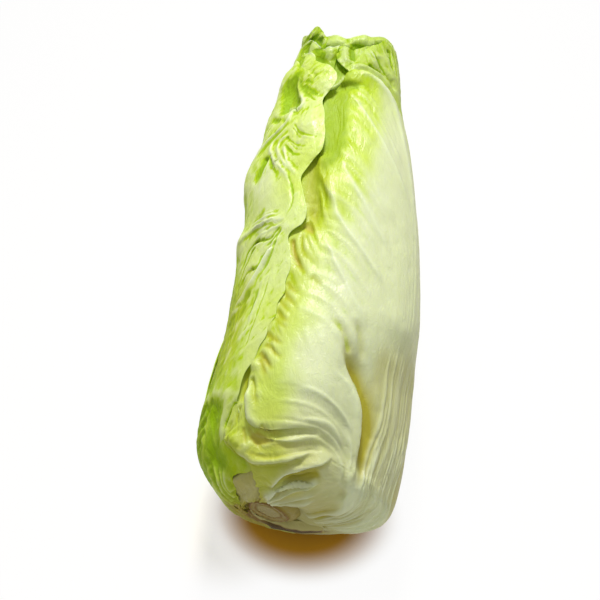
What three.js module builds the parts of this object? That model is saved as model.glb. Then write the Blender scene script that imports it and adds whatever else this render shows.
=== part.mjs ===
// A head of sugarloaf chicory, as cut, lying on its side: a short conical stem inside a long blunt head of
// leaves. Each leaf is its own thin closed shell, wrapped round the head at its own depth below the outside.
//
// Millimetres, +Z up. +Y runs from the cut stem to the leaf tips, and the head rests on the plane z = 0.
// A place on a leaf is (share, angle, depth): share runs along the head from 0 at the stem to 1 at the tips,
// angle goes round it from 0 on top through 90 at +X, and depth is how far in from the outside it lies.
import * as THREE from "three";

// Driving dimensions.
const HEAD_RADIUS = 62; // half of the greatest width, and the depth scale of the layers
const FLATNESS = 0.9; // height over width: the head sags a little under its own weight
const REST_SINK = 3; // how far the soft underside is pressed flat where it rests
const CORE_LENGTH = 65; // the stem's length inside the head
const STEM_HEIGHT = 53; // the stem's centre above the resting plane
const CUT_FACE_Y = -3.5; // the trimmed end of the stem
const CORE_GAP = 0.8; // between the stem and the foot of each leaf
const BLADE = 1.2; // leaf blade thickness at the head's widest section
const RIB = 0.7; // what the midrib adds to it at the foot
const LAYER = 3.4; // depth from one leaf to the next
const CENTRE_X = 13; // moves the head so that its box is centred on x = 0
const CENTRE_Y = 180; // moves the head so that its box is centred on y = 0

// The head's side profile, from the stem to the tips: radius, distance along Y, sideways place of the axis.
const STATIONS = [
  [16, 0, -3],
  [36, 1, 13],
  [48.5, 7, 15],
  [59, 31, 12],
  [HEAD_RADIUS, 75, 12.5],
  [59.5, 127, 16],
  [57, 180, 16.5],
  [54, 235, 15.5],
  [48.5, 287, 15],
  [44.5, 328, 16.5],
  [38, 368, 19],
];

const radians = THREE.MathUtils.degToRad;
const smooth = THREE.MathUtils.smoothstep;

// A smooth curve through evenly spaced values, read at t from 0 to 1.
function curveThrough(values) {
  const curve = new THREE.SplineCurve(values.map((value) => new THREE.Vector2(value, 0)));
  return (t) => curve.getPoint(THREE.MathUtils.clamp(t, 0, 1)).x;
}

const radiusAt = curveThrough(STATIONS.map(([radius]) => radius));
const lengthAt = curveThrough(STATIONS.map(([, y]) => y));
const axisXAt = curveThrough(STATIONS.map(([, , x]) => x));

// The axis's height: the underside lies on z = 0 along the head, and the blunt end rises to the stem.
function axisZAt(share) {
  const resting = FLATNESS * radiusAt(share) - REST_SINK;
  return THREE.MathUtils.lerp(STEM_HEIGHT, resting, smooth(share, 0.2, 0.4));
}

// The outside radius in one direction, cut short where it would go through the resting plane.
function outsideRadius(share, angle) {
  const fall = -FLATNESS * Math.cos(radians(angle));
  const radius = radiusAt(share);
  return fall > 0 ? Math.min(radius, axisZAt(share) / fall) : radius;
}

// The point at (share, angle, depth). Deeper layers shrink towards the axis, and their feet climb the stem.
function headPoint(share, angle, depth) {
  const scale = 1 - depth / HEAD_RADIUS;
  const climb = (1 - scale) * (1 - smooth(share, 0.1, 1));
  const radius = scale * outsideRadius(share, angle);
  const axisX = THREE.MathUtils.lerp(axisXAt(share), axisXAt(0), climb);
  const axisZ = THREE.MathUtils.lerp(axisZAt(share), STEM_HEIGHT, climb);
  return new THREE.Vector3(
    axisX + radius * Math.sin(radians(angle)),
    lengthAt(share) + climb * CORE_LENGTH,
    axisZ + FLATNESS * radius * Math.cos(radians(angle)),
  );
}

// A closed shell from a grid of rows and columns of places on a leaf, with an outer and an inner face.
function shellGeometry(rows, columns, placeAt, thicknessAt) {
  const points = [];
  for (const face of [0, 1])
    for (let row = 0; row <= rows; row++)
      for (let column = 0; column <= columns; column++) {
        const along = (row / rows) ** 1.25; // shorter steps near the foot, where the head curves most
        const across = (2 * column) / columns - 1;
        const [share, angle, depth] = placeAt(along, across);
        points.push(headPoint(share, angle, depth + face * thicknessAt(along, across)));
      }
  const faceSize = (rows + 1) * (columns + 1);
  const index = (face, row, column) => face * faceSize + row * (columns + 1) + column;
  const triangles = [];
  const quad = (a, b, c, d) => triangles.push(a, c, b, a, d, c);
  for (let row = 0; row < rows; row++)
    for (let column = 0; column < columns; column++) {
      const corners = (face) => [
        index(face, row, column),
        index(face, row + 1, column),
        index(face, row + 1, column + 1),
        index(face, row, column + 1),
      ];
      quad(...corners(0));
      quad(...corners(1).reverse());
    }
  for (let row = 0; row < rows; row++) {
    quad(index(0, row, 0), index(1, row, 0), index(1, row + 1, 0), index(0, row + 1, 0));
    const last = columns;
    quad(index(0, row, last), index(0, row + 1, last), index(1, row + 1, last), index(1, row, last));
  }
  for (let column = 0; column < columns; column++) {
    const next = column + 1;
    quad(index(0, 0, column), index(0, 0, next), index(1, 0, next), index(1, 0, column));
    quad(index(0, rows, column), index(1, rows, column), index(1, rows, next), index(0, rows, next));
  }
  return new THREE.BufferGeometry().setFromPoints(points).setIndex(triangles);
}

// A leaf between its two margins, given as angles from foot to tip. Its tip is rounded by tipDrop. Each tuck
// slides one side a layer deeper as the angle goes from one curve to another, so that it passes under the
// neighbour that covers it, and flare is the share of its depth that the leaf gives up as it opens at the tip.
function leafGeometry({ rows, columns, tip, tipDrop = 0.05, margins, depth = 0, tucks = [], flare = 0 }) {
  const [startAt, endAt] = margins.map(curveThrough);
  const ramps = tucks.map((tuck) => tuck.map(curveThrough));
  const placeAt = (along, across) => {
    const share = along * (tip - tipDrop * across * across);
    const angle = THREE.MathUtils.lerp(startAt(share), endAt(share), (across + 1) / 2);
    const opened = depth * (1 - flare * smooth(share, 0.86, 1));
    const tucked = ramps.reduce((sum, [fromAt, toAt]) => {
      const way = (angle - fromAt(share)) / (toAt(share) - fromAt(share));
      return sum + LAYER * smooth(way, 0, 1);
    }, 0);
    return [share, angle, opened + tucked];
  };
  const thicknessAt = (along, across) => BLADE + RIB * (1 - along) * Math.exp(-((across / 0.2) ** 2));
  return shellGeometry(rows, columns, placeAt, thicknessAt);
}

// The stem: a short turned butt with a slightly domed cut face, and the cone that the leaves' feet grow round.
function stemGeometry() {
  const footRadius = radiusAt(0) - CORE_GAP;
  const neck = footRadius - 2.5;
  const profile = [
    [0, CUT_FACE_Y - 0.6],
    [neck - 1.2, CUT_FACE_Y],
    [neck, CUT_FACE_Y + 1],
    [neck, -1],
    [footRadius - 1.5, 0],
    [footRadius * 0.55 - 0.8, CORE_LENGTH * 0.42],
    [2, CORE_LENGTH * 0.8],
    [0, CORE_LENGTH * 0.84],
  ];
  const points = profile.map(([radius, y]) => new THREE.Vector2(radius, y));
  const geometry = new THREE.LatheGeometry(points, 24);
  return geometry.scale(1, 1, FLATNESS).translate(axisXAt(0), 0, STEM_HEIGHT);
}

const LEAF_COLOURS = { wrapper: 0xd5e29a, inner: 0xc3dc6a, heart: 0xe6ecae, stub: 0xa9b46a, stem: 0xdcd8b4 };

function piece(name, geometry, colour) {
  const material = new THREE.MeshStandardMaterial({ color: colour, roughness: 0.45, metalness: 0 });
  const mesh = new THREE.Mesh(geometry, material);
  mesh.name = name;
  return mesh;
}

const turned = (angles, by) => angles.map((angle) => angle + by);

// Where the outer leaves' exposed margins lie, as angles from the foot to the tip: the left leaf's over the
// right leaf along the top, and the back leaf's over the right leaf and over the left one low on the sides.
const SEAM = [-60, -52, -46, -40, -31, -22, -14, -3, 0, -2, -20];
const BACK_OVER_RIGHT = [128, 112, 104, 103, 104, 106, 108, 110, 112, 118, 136];
const BACK_OVER_LEFT = [-124, -98, -82, -84, -92, -98, -102, -104, -108, -114, -132];

// The three outer leaves. Angles past 180 carry on round the underside.
const wrappers = [
  {
    name: "right_wrapper_leaf",
    tip: 0.875,
    tipDrop: 0.03,
    margins: [turned(SEAM, -16), [128, 150, 166, 170, 170, 170, 168, 166, 160, 150, 140]],
    tucks: [
      [turned(SEAM, 8), turned(SEAM, -8)],
      [turned(BACK_OVER_RIGHT, -10), turned(BACK_OVER_RIGHT, 8)],
    ],
  },
  {
    name: "left_wrapper_leaf",
    tip: 0.955,
    margins: [[-136, -150, -160, -164, -164, -164, -164, -164, -162, -156, -146], SEAM],
    tucks: [[turned(BACK_OVER_LEFT, 10), turned(BACK_OVER_LEFT, -8)]],
  },
  {
    name: "back_wrapper_leaf",
    tip: 0.94,
    margins: [BACK_OVER_RIGHT, turned(BACK_OVER_LEFT, 360)],
  },
];

// The inner leaves, from the outside in. Each grows a turn of the spiral further round than the last.
const INNER_COUNT = 16;
const OPEN_INNER_LEAVES = 6; // the rest make up the closed heart
const FIRST_INNER_DEPTH = 2 * LAYER + 0.4;
const INNER_TIP = 0.985;
const INNER_TIP_STEP = 0.01;
const INNER_FLARE = 0.3;
const SPIRAL_TURN = 137.5;
const FIRST_INNER_ANGLE = 40;

function innerLeaf(number) {
  const middle = FIRST_INNER_ANGLE - SPIRAL_TURN * number;
  const half = (share) => THREE.MathUtils.lerp(48, 118, smooth(share, 0, 0.3)) - 40 * smooth(share, 0.8, 1);
  const along = [0, 0.1, 0.2, 0.3, 0.4, 0.5, 0.6, 0.7, 0.8, 0.9, 1];
  return {
    rows: number < OPEN_INNER_LEAVES ? 13 : 10,
    columns: 13,
    tip: INNER_TIP - INNER_TIP_STEP * number,
    tipDrop: 0.07,
    depth: FIRST_INNER_DEPTH + LAYER * number,
    flare: INNER_FLARE,
    margins: [along.map((share) => middle - half(share)), along.map((share) => middle + half(share))],
  };
}

// What is left of two outermost leaves where they were trimmed off beside the stem.
const stubs = [
  {
    name: "trimmed_leaf_stub_left",
    tip: 0.17,
    margins: [
      [-128, -122, -112],
      [-62, -70, -84],
    ],
  },
  {
    name: "trimmed_leaf_stub_below",
    tip: 0.12,
    margins: [
      [158, 156, 160],
      [202, 206, 200],
    ],
  },
];
const STUB_DEPTH = -2.9;

const head = new THREE.Group();
head.position.set(-CENTRE_X, -CENTRE_Y, 0);
head.add(piece("stem", stemGeometry(), LEAF_COLOURS.stem));
for (const { name, ...shape } of wrappers)
  head.add(piece(name, leafGeometry({ rows: 18, columns: 18, ...shape }), LEAF_COLOURS.wrapper));
for (let number = 0; number < INNER_COUNT; number++) {
  const inHeart = number >= OPEN_INNER_LEAVES;
  const name = inHeart ? `heart_leaf_${number - OPEN_INNER_LEAVES + 1}` : `inner_leaf_${number + 1}`;
  const colour = inHeart ? LEAF_COLOURS.heart : LEAF_COLOURS.inner;
  head.add(piece(name, leafGeometry(innerLeaf(number)), colour));
}
for (const { name, tip, margins } of stubs) {
  const shape = { rows: 4, columns: 8, tip, tipDrop: 0.03, margins, depth: STUB_DEPTH };
  head.add(piece(name, leafGeometry(shape), LEAF_COLOURS.stub));
}

const part = new THREE.Group();
part.add(head);
export default part;
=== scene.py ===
"""The looks of a head of sugarloaf chicory lying on its side, as cut.

Lengths here are in millimetres until a mesh is made. A place on a leaf is (share, angle, depth), as in the
CAD model: share runs from 0 at the stem to 1 at the leaf tips, angle goes round from 0 on top through 90 at
+X, and depth is how far in from the outside of the head it lies.
"""
import math

import bpy
import numpy as np
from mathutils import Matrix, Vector

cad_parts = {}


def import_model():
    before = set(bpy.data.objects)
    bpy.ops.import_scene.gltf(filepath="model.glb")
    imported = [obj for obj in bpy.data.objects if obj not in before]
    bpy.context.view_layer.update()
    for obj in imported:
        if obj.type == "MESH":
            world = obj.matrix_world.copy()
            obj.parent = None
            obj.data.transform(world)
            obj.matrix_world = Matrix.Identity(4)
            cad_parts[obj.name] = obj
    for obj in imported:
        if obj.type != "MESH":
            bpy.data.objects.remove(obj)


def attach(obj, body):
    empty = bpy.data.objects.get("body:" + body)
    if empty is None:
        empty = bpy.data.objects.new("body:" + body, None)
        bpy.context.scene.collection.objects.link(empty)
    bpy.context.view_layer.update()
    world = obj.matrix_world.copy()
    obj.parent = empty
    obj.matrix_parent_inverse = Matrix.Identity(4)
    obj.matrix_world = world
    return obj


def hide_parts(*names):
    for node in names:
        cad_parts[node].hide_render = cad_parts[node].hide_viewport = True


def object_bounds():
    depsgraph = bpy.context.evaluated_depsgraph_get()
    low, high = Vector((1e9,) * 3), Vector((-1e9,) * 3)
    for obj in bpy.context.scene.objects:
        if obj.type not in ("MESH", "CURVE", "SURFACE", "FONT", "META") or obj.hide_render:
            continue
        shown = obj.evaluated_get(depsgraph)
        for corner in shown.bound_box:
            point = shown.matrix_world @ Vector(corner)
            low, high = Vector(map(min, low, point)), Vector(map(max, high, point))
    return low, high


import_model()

CAD_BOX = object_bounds()
MM = 0.001

# ---------------------------------------------------------------- the head's shape, as in the CAD model

HEAD_RADIUS = 62.0
FLATNESS = 0.9
REST_SINK = 3.0
CORE_LENGTH = 65.0
STEM_HEIGHT = 53.0
CENTRE_X = 13.0
CENTRE_Y = 180.0
LAYER = 3.4
PAST_TIP = 400.0
UNROLLED_RADIUS = 55
UNROLLED_LENGTH = 360
LIFT = np.array([0.05, -0.53, 0.85])  # the way a ruffle stands up from the seam

# radius, distance along Y, sideways place of the axis
STATIONS = np.array([
    (16, 0, -3), (36, 1, 13), (48.5, 7, 15), (59, 31, 12), (HEAD_RADIUS, 75, 12.5), (59.5, 127, 16),
    (57, 180, 16.5), (54, 235, 15.5), (48.5, 287, 15), (44.5, 328, 16.5), (38, 368, 19),
], float)
# the angle of the seam between the two wrappers, at even shares
SEAM = (-60, -52, -46, -40, -31, -22, -14, -3, 0, -2, -20)


def curve(values, t):
    """A uniform Catmull-Rom curve through values, read at t from 0 to 1."""
    v = np.asarray(values, float)
    last = len(v) - 1
    t = np.clip(np.asarray(t, float), 0, 1) * last
    i = np.minimum(t.astype(int), last - 1)
    w = t - i
    if v.ndim > 1:
        w = w[..., None]
    before, here, after = v[np.maximum(i - 1, 0)], v[i], v[i + 1]
    beyond = v[np.minimum(i + 2, last)]
    slope, next_slope = (after - before) / 2, (beyond - here) / 2
    return ((2 * here - 2 * after + slope + next_slope) * w**3
            + (3 * after - 3 * here - 2 * slope - next_slope) * w**2 + slope * w + here)


def sampled(values, count):
    """The curve through values, read at count even steps."""
    return curve(values, np.linspace(0, 1, count))


def level(path, x, count=600):
    """The height of a path (x, height) at x."""
    run = sampled(path, count)
    return np.interp(x, run[:, 0], run[:, 1])


def smooth(x, low=0.0, high=1.0):
    """0 at low, 1 at high, with no kink between; low may be the larger."""
    t = np.clip((np.asarray(x, float) - low) / (high - low), 0, 1)
    return t * t * (3 - 2 * t)


def mix(a, b, t):
    return a + (b - a) * t


def head_point(share, angle, depth=0.0):
    """The point in millimetres at (share, angle, depth)."""
    radius, y, axis_x = (curve(STATIONS[:, k], share) for k in range(3))
    y = y + PAST_TIP * np.maximum(share - 1, 0)
    axis_z = mix(STEM_HEIGHT, FLATNESS * radius - REST_SINK, smooth(share, 0.2, 0.4))
    turn = np.radians(angle)
    fall = -FLATNESS * np.cos(turn)
    outside = np.where(fall > 1e-6, np.minimum(radius, axis_z / np.maximum(fall, 1e-6)), radius)
    scale = 1 - depth / HEAD_RADIUS
    climb = (1 - scale) * (1 - smooth(share, 0.1, 1))
    around = scale * outside
    return np.stack([
        mix(axis_x, STATIONS[0, 2], climb) + around * np.sin(turn) - CENTRE_X,
        y + climb * CORE_LENGTH - CENTRE_Y,
        mix(axis_z, STEM_HEIGHT, climb) + FLATNESS * around * np.cos(turn),
    ], -1)


def hump(x, middle, wide):
    """1 at the middle, fading over wide to both sides."""
    return np.exp(-((x - middle) / wide) ** 2)


def unit(v):
    return v / np.maximum(np.linalg.norm(v, axis=-1, keepdims=True), 1e-12)


def grid_normals(points):
    """Outward unit normals of a grid whose rows run along the head and whose columns run with the angle."""
    along = np.gradient(points, axis=0)
    across = np.gradient(points, axis=1)
    return unit(np.cross(across, along))


# ---------------------------------------------------------------- leaves as grids, and what shapes them

class Leaf:
    """A grid of points with an outward normal at each, and the paint layers that its material reads."""

    PAINT = ("fresh", "green", "olive", "vein", "dry", "ribs")

    def __init__(self, name, share, angle, depth):
        self.name = name
        self.share, self.angle, self.depth = np.broadcast_arrays(share, angle, depth)
        self.move(head_point(self.share, self.angle, self.depth))
        self.flat = self.points
        self.rise, self.slide = np.zeros(self.share.shape), np.zeros(self.points.shape)
        self.paint = {key: np.zeros(self.share.shape) for key in self.PAINT}

    def move(self, points):
        """Puts the grid at new points."""
        self.points = points
        self.normals = grid_normals(points)

    def settle(self):
        """Applies the rises and slides made since the last call."""
        self.move(self.points + self.normals * self.rise[..., None] + self.slide)
        self.rise, self.slide = np.zeros(self.share.shape), np.zeros(self.points.shape)

    def zone(self, share=(), angle=()):
        """1 inside the limits, 0 outside them: each holds pairs, where the zone begins and where it is
        full."""
        inside = 1.0
        for values, limits in ((self.share, share), (self.angle, angle)):
            for begins, full in zip(limits[::2], limits[1::2]):
                inside = inside * smooth(values, begins, full)
        return inside

    def near(self, share, angle, tall, wide, power=2):
        """1 at a place, fading over tall along the leaf and wide round it."""
        return np.exp(-((self.share - share) / tall) ** power - ((self.angle - angle) / wide) ** power)

    def wash(self, share=(), angle=(), where=1.0, **paint):
        """Paints a zone of the leaf, as strong as where says, in each layer named."""
        inside = self.zone(share, angle) * where
        for key, amount in paint.items():
            self.paint[key] = self.paint[key] + amount * inside

    def stroke(self, path, width, height=0.0, left=None, right=None, ends=(0.25, 0.25), power=2.0, lean=0.0,
               **paint):
        """Raises the leaf, or sinks it, along a smooth curve through places (share, angle), and paints it.

        width is how far the effect reaches to each side, and left and right replace it on one side, seen
        along the path from outside. ends are the shares of the path over which it fades in and out. power
        shapes the cross-section: 2 is a soft bell, 1 a crease. lean drags the surface sideways with its
        rise."""
        left, right = left or width, right or width
        long, wide = np.ptp(path, axis=0)
        place = sampled(path, max(2 + int(long * 300 + wide), 12))
        line = head_point(place[:, 0], place[:, 1], float(np.mean(self.depth)))
        tangent = unit(np.gradient(line, axis=0))
        reach = 2.6 * max(left, right)
        flat = self.flat.reshape(-1, 3)
        near = np.all((flat > line.min(0) - reach) & (flat < line.max(0) + reach), axis=1).nonzero()[0]
        if not len(near):
            return
        spot = flat[near]
        nearest = ((spot**2).sum(1)[:, None] - 2 * spot @ line.T + (line**2).sum(1)[None]).argmin(1)
        away = spot - line[nearest]
        along = (away * tangent[nearest]).sum(1)
        side = unit(np.cross(tangent[nearest], self.normals.reshape(-1, 3)[near]))
        distance = (away * side).sum(1)
        length_at = np.concatenate([[0], np.cumsum(np.linalg.norm(np.diff(line, axis=0), axis=1))])
        way = (length_at[nearest] + along) / length_at[-1]
        beyond = np.maximum(np.maximum(-way, way - 1), 0) * length_at[-1]
        bell = np.exp(-(np.hypot(distance, beyond) / np.where(distance < 0, left, right)) ** power)
        effect = bell * (smooth(way, -0.02, max(ends[0], 0.02)) * smooth(way, 1.02, 1 - max(ends[1], 0.02)))
        index = np.unravel_index(near, self.share.shape)
        self.rise[index] += height * effect
        if lean:
            self.slide[index] += side * (lean * height * effect)[:, None]
        for key, amount in paint.items():
            self.paint[key][index] += amount * effect

    def bump(self, share, angle, size, height=0.0, **paint):
        """A round or oval swelling, or a hollow, centred on a place; size is its reach along and around."""
        centre, ahead = head_point(np.array([share, share + 0.01]), np.array([angle, angle]),
                                   np.mean(self.depth))
        axis = unit(ahead - centre)
        away = self.flat - centre
        along = away @ axis
        around = np.linalg.norm(away - along[..., None] * axis, axis=-1)
        effect = np.exp(-((along / size[0]) ** 2 + (around / size[1]) ** 2))
        self.rise += height * effect
        self.wash(where=effect, **paint)


def blurred(points, times):
    """The points of a grid, each averaged with its neighbours a number of times."""
    for _ in range(times):
        wide = np.pad(points, ((1, 1), (1, 1), (0, 0)), mode="edge")
        points = (wide[:-2, 1:-1] + wide[2:, 1:-1] + wide[1:-1, :-2] + wide[1:-1, 2:]) / 4
    return points


def hollows(leaf, green, pale):
    """Paints shade into the leaf's creases and dips as deeper green, and paints light onto the tops of its
    folds as pale.
    """
    for times, size, share in ((10, 0.16, 0.6), (70, 0.8, 0.4)):
        relief = ((leaf.points - blurred(leaf.points, times)) * leaf.normals).sum(-1) / size
        low, high = smooth(-relief, 0.15, 1.4), smooth(relief, 0.2, 1.4)
        leaf.wash(green=share * green * (low - 0.5 * high), vein=share * pale * high)
    return leaf


def soften(leaf, share, angle, tall, wide, times):
    """Smooths the leaf round one place, where its folds crowd together."""
    here = leaf.near(share, angle, tall, wide, 4)[..., None]
    leaf.move(mix(leaf.points, blurred(leaf.points, times), here))


def sheaf(leaf, first, last, count, width, height, seed, uneven=0.45, **style):
    """A family of strokes spread between two paths, each a little different."""
    chance = np.random.default_rng(seed)
    first, last = sampled(first, 9), sampled(last, 9)
    for k in range(count):
        where = (k + chance.uniform(-0.35, 0.35)) / (count - 1)
        low, high = sorted(chance.uniform(0, 1, 2) * (0.35, 1))
        path = curve(mix(first, last, where), np.linspace(0.4 * low, 0.75 + 0.25 * high, 9))
        scale = 1 + uneven * chance.uniform(-1, 1, 2)
        leaf.stroke(path, width * scale[0], height * scale[1], **style)


def crest(leaf, path, height, behind, drop=1.2, lean=0.3, ends=(0.1, 0.3), green=0.4, olive=0.1, vein=0.3):
    """A fold's lip: it climbs gently behind the path and drops steeply before it. A highlight is painted pale
    along the lip, and shade is painted green and olive into the crease below."""
    leaf.stroke(path, 3, height, left=behind, right=drop, ends=ends, lean=lean)
    leaf.stroke(path, 1.0, vein=vein, ends=ends)
    below = [(share - 0.0065, angle) for share, angle in path]
    leaf.stroke(below, 1.5, -0.3 * height, green=green, olive=olive, ends=ends)


def lattice(cells, seed):
    """Random numbers from -1 to 1 for the whole-number places in cells."""
    n = ((cells[..., 0] * 374761393 + cells[..., 1] * 668265263 + seed * 2246822519).astype(np.int64)
         & 0xFFFFFFFF)
    n = ((n ^ (n >> 13)) * 1274126177) & 0xFFFFFFFF
    return ((n ^ (n >> 16)) & 0xFFFF) / 32767.5 - 1


def noise(x, y, seed):
    """Soft random hills about one unit across, from -1 to 1."""
    spot = np.stack(np.broadcast_arrays(x, y), -1)
    cell = np.floor(spot).astype(np.int64)
    f = spot - cell
    f = f * f * f * (f * (6 * f - 15) + 10)
    near_to, far_to = (mix(lattice(cell + (i, 0), seed), lattice(cell + (i, 1), seed), f[..., 1])
                       for i in (0, 1))
    return mix(near_to, far_to, f[..., 0])


def unrolled(leaf):
    """How far round and how far along each place lies, in millimetres, with the leaf laid out flat."""
    return np.radians(leaf.angle) * UNROLLED_RADIUS, leaf.share * UNROLLED_LENGTH


def crinkle(leaf, amount, size, lengthways, seed, turn=0.0):
    """Puckers all over: hills about size across, longer along the leaf, with sharper valleys than tops.

    amount is an array or a number; turn slants the puckers, in degrees."""
    x, y = unrolled(leaf)
    c, n = math.cos(math.radians(turn)), math.sin(math.radians(turn))
    u, v = x * c + y * n, (y * c - x * n) / lengthways
    big = noise(u / size, v / size, seed)
    small = noise(u / size * 2.1 + 7, v / size * 2.1, seed + 1)
    tall = 1 - 2 * np.abs(noise(u / size * 1.3 + 3 + 0.3 * big, v / size * 1.3, seed + 2))
    leaf.rise += amount * (0.5 * big + 0.25 * small - 0.45 * tall)


def finish(leaf, amount, size, lengthways, seed, green, pale, turn=0.0):
    """Settles a leaf's folds, puckers it all over, paints shade into its creases and paints light onto its
    crests.
    """
    leaf.settle()
    crinkle(leaf, amount, size, lengthways, seed, turn)
    leaf.settle()
    return hollows(leaf, green, pale)


def ruffle(leaf, path, reach):
    """Leads the last margin through places (share, angle, lift); the blade follows it over the reach."""
    run = sampled(path, 900)
    margin_share = leaf.share[:, -1]
    target = head_point(margin_share, np.interp(margin_share, run[:, 0], run[:, 1]))
    target = target + np.interp(margin_share, run[:, 0], run[:, 2])[:, None] * LIFT
    shift = target - leaf.points[:, -1]
    away = np.linalg.norm(leaf.points - leaf.points[:, -1][:, None], axis=-1)
    leaf.move(leaf.points + smooth(away, reach, 0)[..., None] * shift[:, None])
    leaf.flat = leaf.points


def both_faces(layer):
    """A layer's values for the outer face, then for the inner one, in a row."""
    return np.concatenate([layer.reshape(-1), layer[::2, ::2].reshape(-1)]).astype(np.float32)


def shell_mesh(leaf, thickness):
    """The leaf as a closed shell: the outer face at full detail, the inner one at half of it, and a rim."""
    points, normals = leaf.points, leaf.normals
    rows, columns = points.shape[0] - 1, points.shape[1] - 1
    back = (points - normals * thickness[..., None])[::2, ::2]
    front_index = np.arange((rows + 1) * (columns + 1)).reshape(rows + 1, columns + 1)
    back_index = front_index.size + np.arange(back.shape[0] * back.shape[1]).reshape(back.shape[:2])

    def quads(index):
        return np.stack([index[:-1, :-1], index[:-1, 1:], index[1:, 1:], index[1:, :-1]], -1).reshape(-1, 4)

    faces = quads(front_index).tolist() + quads(back_index)[:, ::-1].tolist()
    front_rim, back_rim = (np.concatenate([i[0, :-1], i[:-1, -1], i[-1, :0:-1], i[:0:-1, 0]])
                           for i in (front_index, back_index))
    for a, b, c, d, e in zip(front_rim[::2], front_rim[1::2], np.roll(front_rim, -2)[::2], back_rim,
                             np.roll(back_rim, -1)):
        faces += [[a, d, b], [b, d, e], [b, e, c]]
    mesh = bpy.data.meshes.new(leaf.name)
    every = np.concatenate([points.reshape(-1, 3), back.reshape(-1, 3)]) * MM
    mesh.from_pydata(every.tolist(), [], faces)
    mesh.validate()
    for key, layer in leaf.paint.items():
        mesh.attributes.new(key, "FLOAT", "POINT").data.foreach_set("value", both_faces(layer))
    laid_out = np.stack([*unrolled(leaf), np.zeros(leaf.share.shape)], -1) * MM
    mesh.attributes.new("unrolled", "FLOAT_VECTOR", "POINT").data.foreach_set("vector", both_faces(laid_out))
    mesh.polygons.foreach_set("use_smooth", np.ones(len(mesh.polygons), bool))
    mesh.update()
    return mesh


def spaced(count, *stops):
    """count + 1 values from 0 to 1, packed by weight: stops are (position, relative density)."""
    x = np.linspace(0, 1, 2001)
    density = np.interp(x, [s[0] for s in stops], [s[1] for s in stops]) if stops else np.ones_like(x)
    total = np.concatenate([[0], np.cumsum((density[1:] + density[:-1]) / 2)])
    return np.interp(np.linspace(0, total[-1], count + 1), total, x)


def margin(path, share):
    """The angle of a margin at a share: path holds places (share, angle, ...), or evenly spaced angles."""
    if np.ndim(path[0]) == 0:
        return curve(path, share)
    return level(path, share, 1200)


def leaf_grid(name, rows, columns, start, end, tip, depth, foot=0.0, tip_drop=0.03, row_stops=(),
              column_stops=()):
    """A leaf between two margins, given as curves of angle over share.

    tip and foot are shares, or paths (angle, share); tip_drop rounds a tip that is one share. The stops pack
    the rows and columns, as in spaced."""
    along, across = spaced(rows, *row_stops)[:, None], spaced(columns, *column_stops)[None, :]
    if np.ndim(tip):
        top = max(share for _, share in tip)
        tip, tip_drop = level(tip, mix(margin(start, top), margin(end, top), across)), 0.0
    if np.ndim(foot):
        low = min(share for _, share in foot)
        foot = level(foot, mix(margin(start, low), margin(end, low), across))
    share = foot + along * (tip - foot - tip_drop * (2 * across - 1) ** 2)
    angle = mix(margin(start, share), margin(end, share), across)
    return Leaf(name, share, angle, depth(share, angle))


# ---------------------------------------------------------------- the leaves

def wavy(angles, by, seed):
    """The same margin with a natural wave, as places (share, angle)."""
    shares = np.linspace(0, 1, 61)
    return tuple(zip(shares, curve(angles, shares) + by * noise(shares * 17, np.full(61, 0.5), seed)))


# the angles of the back wrapper's two margins, at even shares
BACK_OVER_RIGHT = (128, 112, 104, 103, 104, 106, 108, 110, 112, 118, 136)
BACK_OVER_LEFT = (-124, -98, -82, -84, -92, -98, -102, -104, -108, -114, -132)


def waist(share, angle):
    """How far the head's right side draws in near its top."""
    return 5.0 * smooth(share, 0.76, 0.88) * smooth(angle, 45, 85) * smooth(angle, 150, 110)


# tips and feet are paths (angle, share); margins are paths (share, angle)
RIGHT_TIP = ((-20, 0.8), (-8, 0.812), (0, 0.828), (3, 0.845), (8, 0.856), (18, 0.861), (28, 0.858),
             (34, 0.849), (42, 0.838), (49, 0.828), (57, 0.818), (72, 0.804), (84, 0.792), (94, 0.797),
             (106, 0.784), (118, 0.794), (130, 0.787), (145, 0.8), (160, 0.81))
RIGHT_MARGIN = (
    (0.0, -4), (0.012, -8), (0.024, -14), (0.034, -20), (0.042, -31), (0.052, -34), (0.064, -33),
    (0.076, -37), (0.088, -37), (0.1, -39), (0.118, -38), (0.135, -40), (0.152, -38), (0.168, -37),
    (0.182, -37.5), (0.196, -36), (0.21, -36.5), (0.22, -36), (0.23, -37), (0.24, -39.5), (0.25, -42.5),
    (0.258, -44), (0.266, -46), (0.274, -48), (0.284, -49), (0.294, -48.5), (0.304, -46), (0.316, -43.5),
    (0.328, -42), (0.34, -42), (0.36, -42), (0.38, -43), (0.42, -43), (0.48, -41), (0.54, -36), (0.6, -30),
    (0.66, -24), (0.72, -16), (0.8, -12), (0.9, -14), (1.0, -20),
)


def tucked(share, angle):
    """The share that says which of the right and back wrappers lies over the other: the back one slants
    out."""
    return share - 0.09 * smooth(angle, 152, 112)


def shoulder_line(leaf):
    """The share at which the midrib's bright shoulder ends and its waist begins."""
    return 0.428 + 0.0005 * (leaf.angle - 8)


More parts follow.
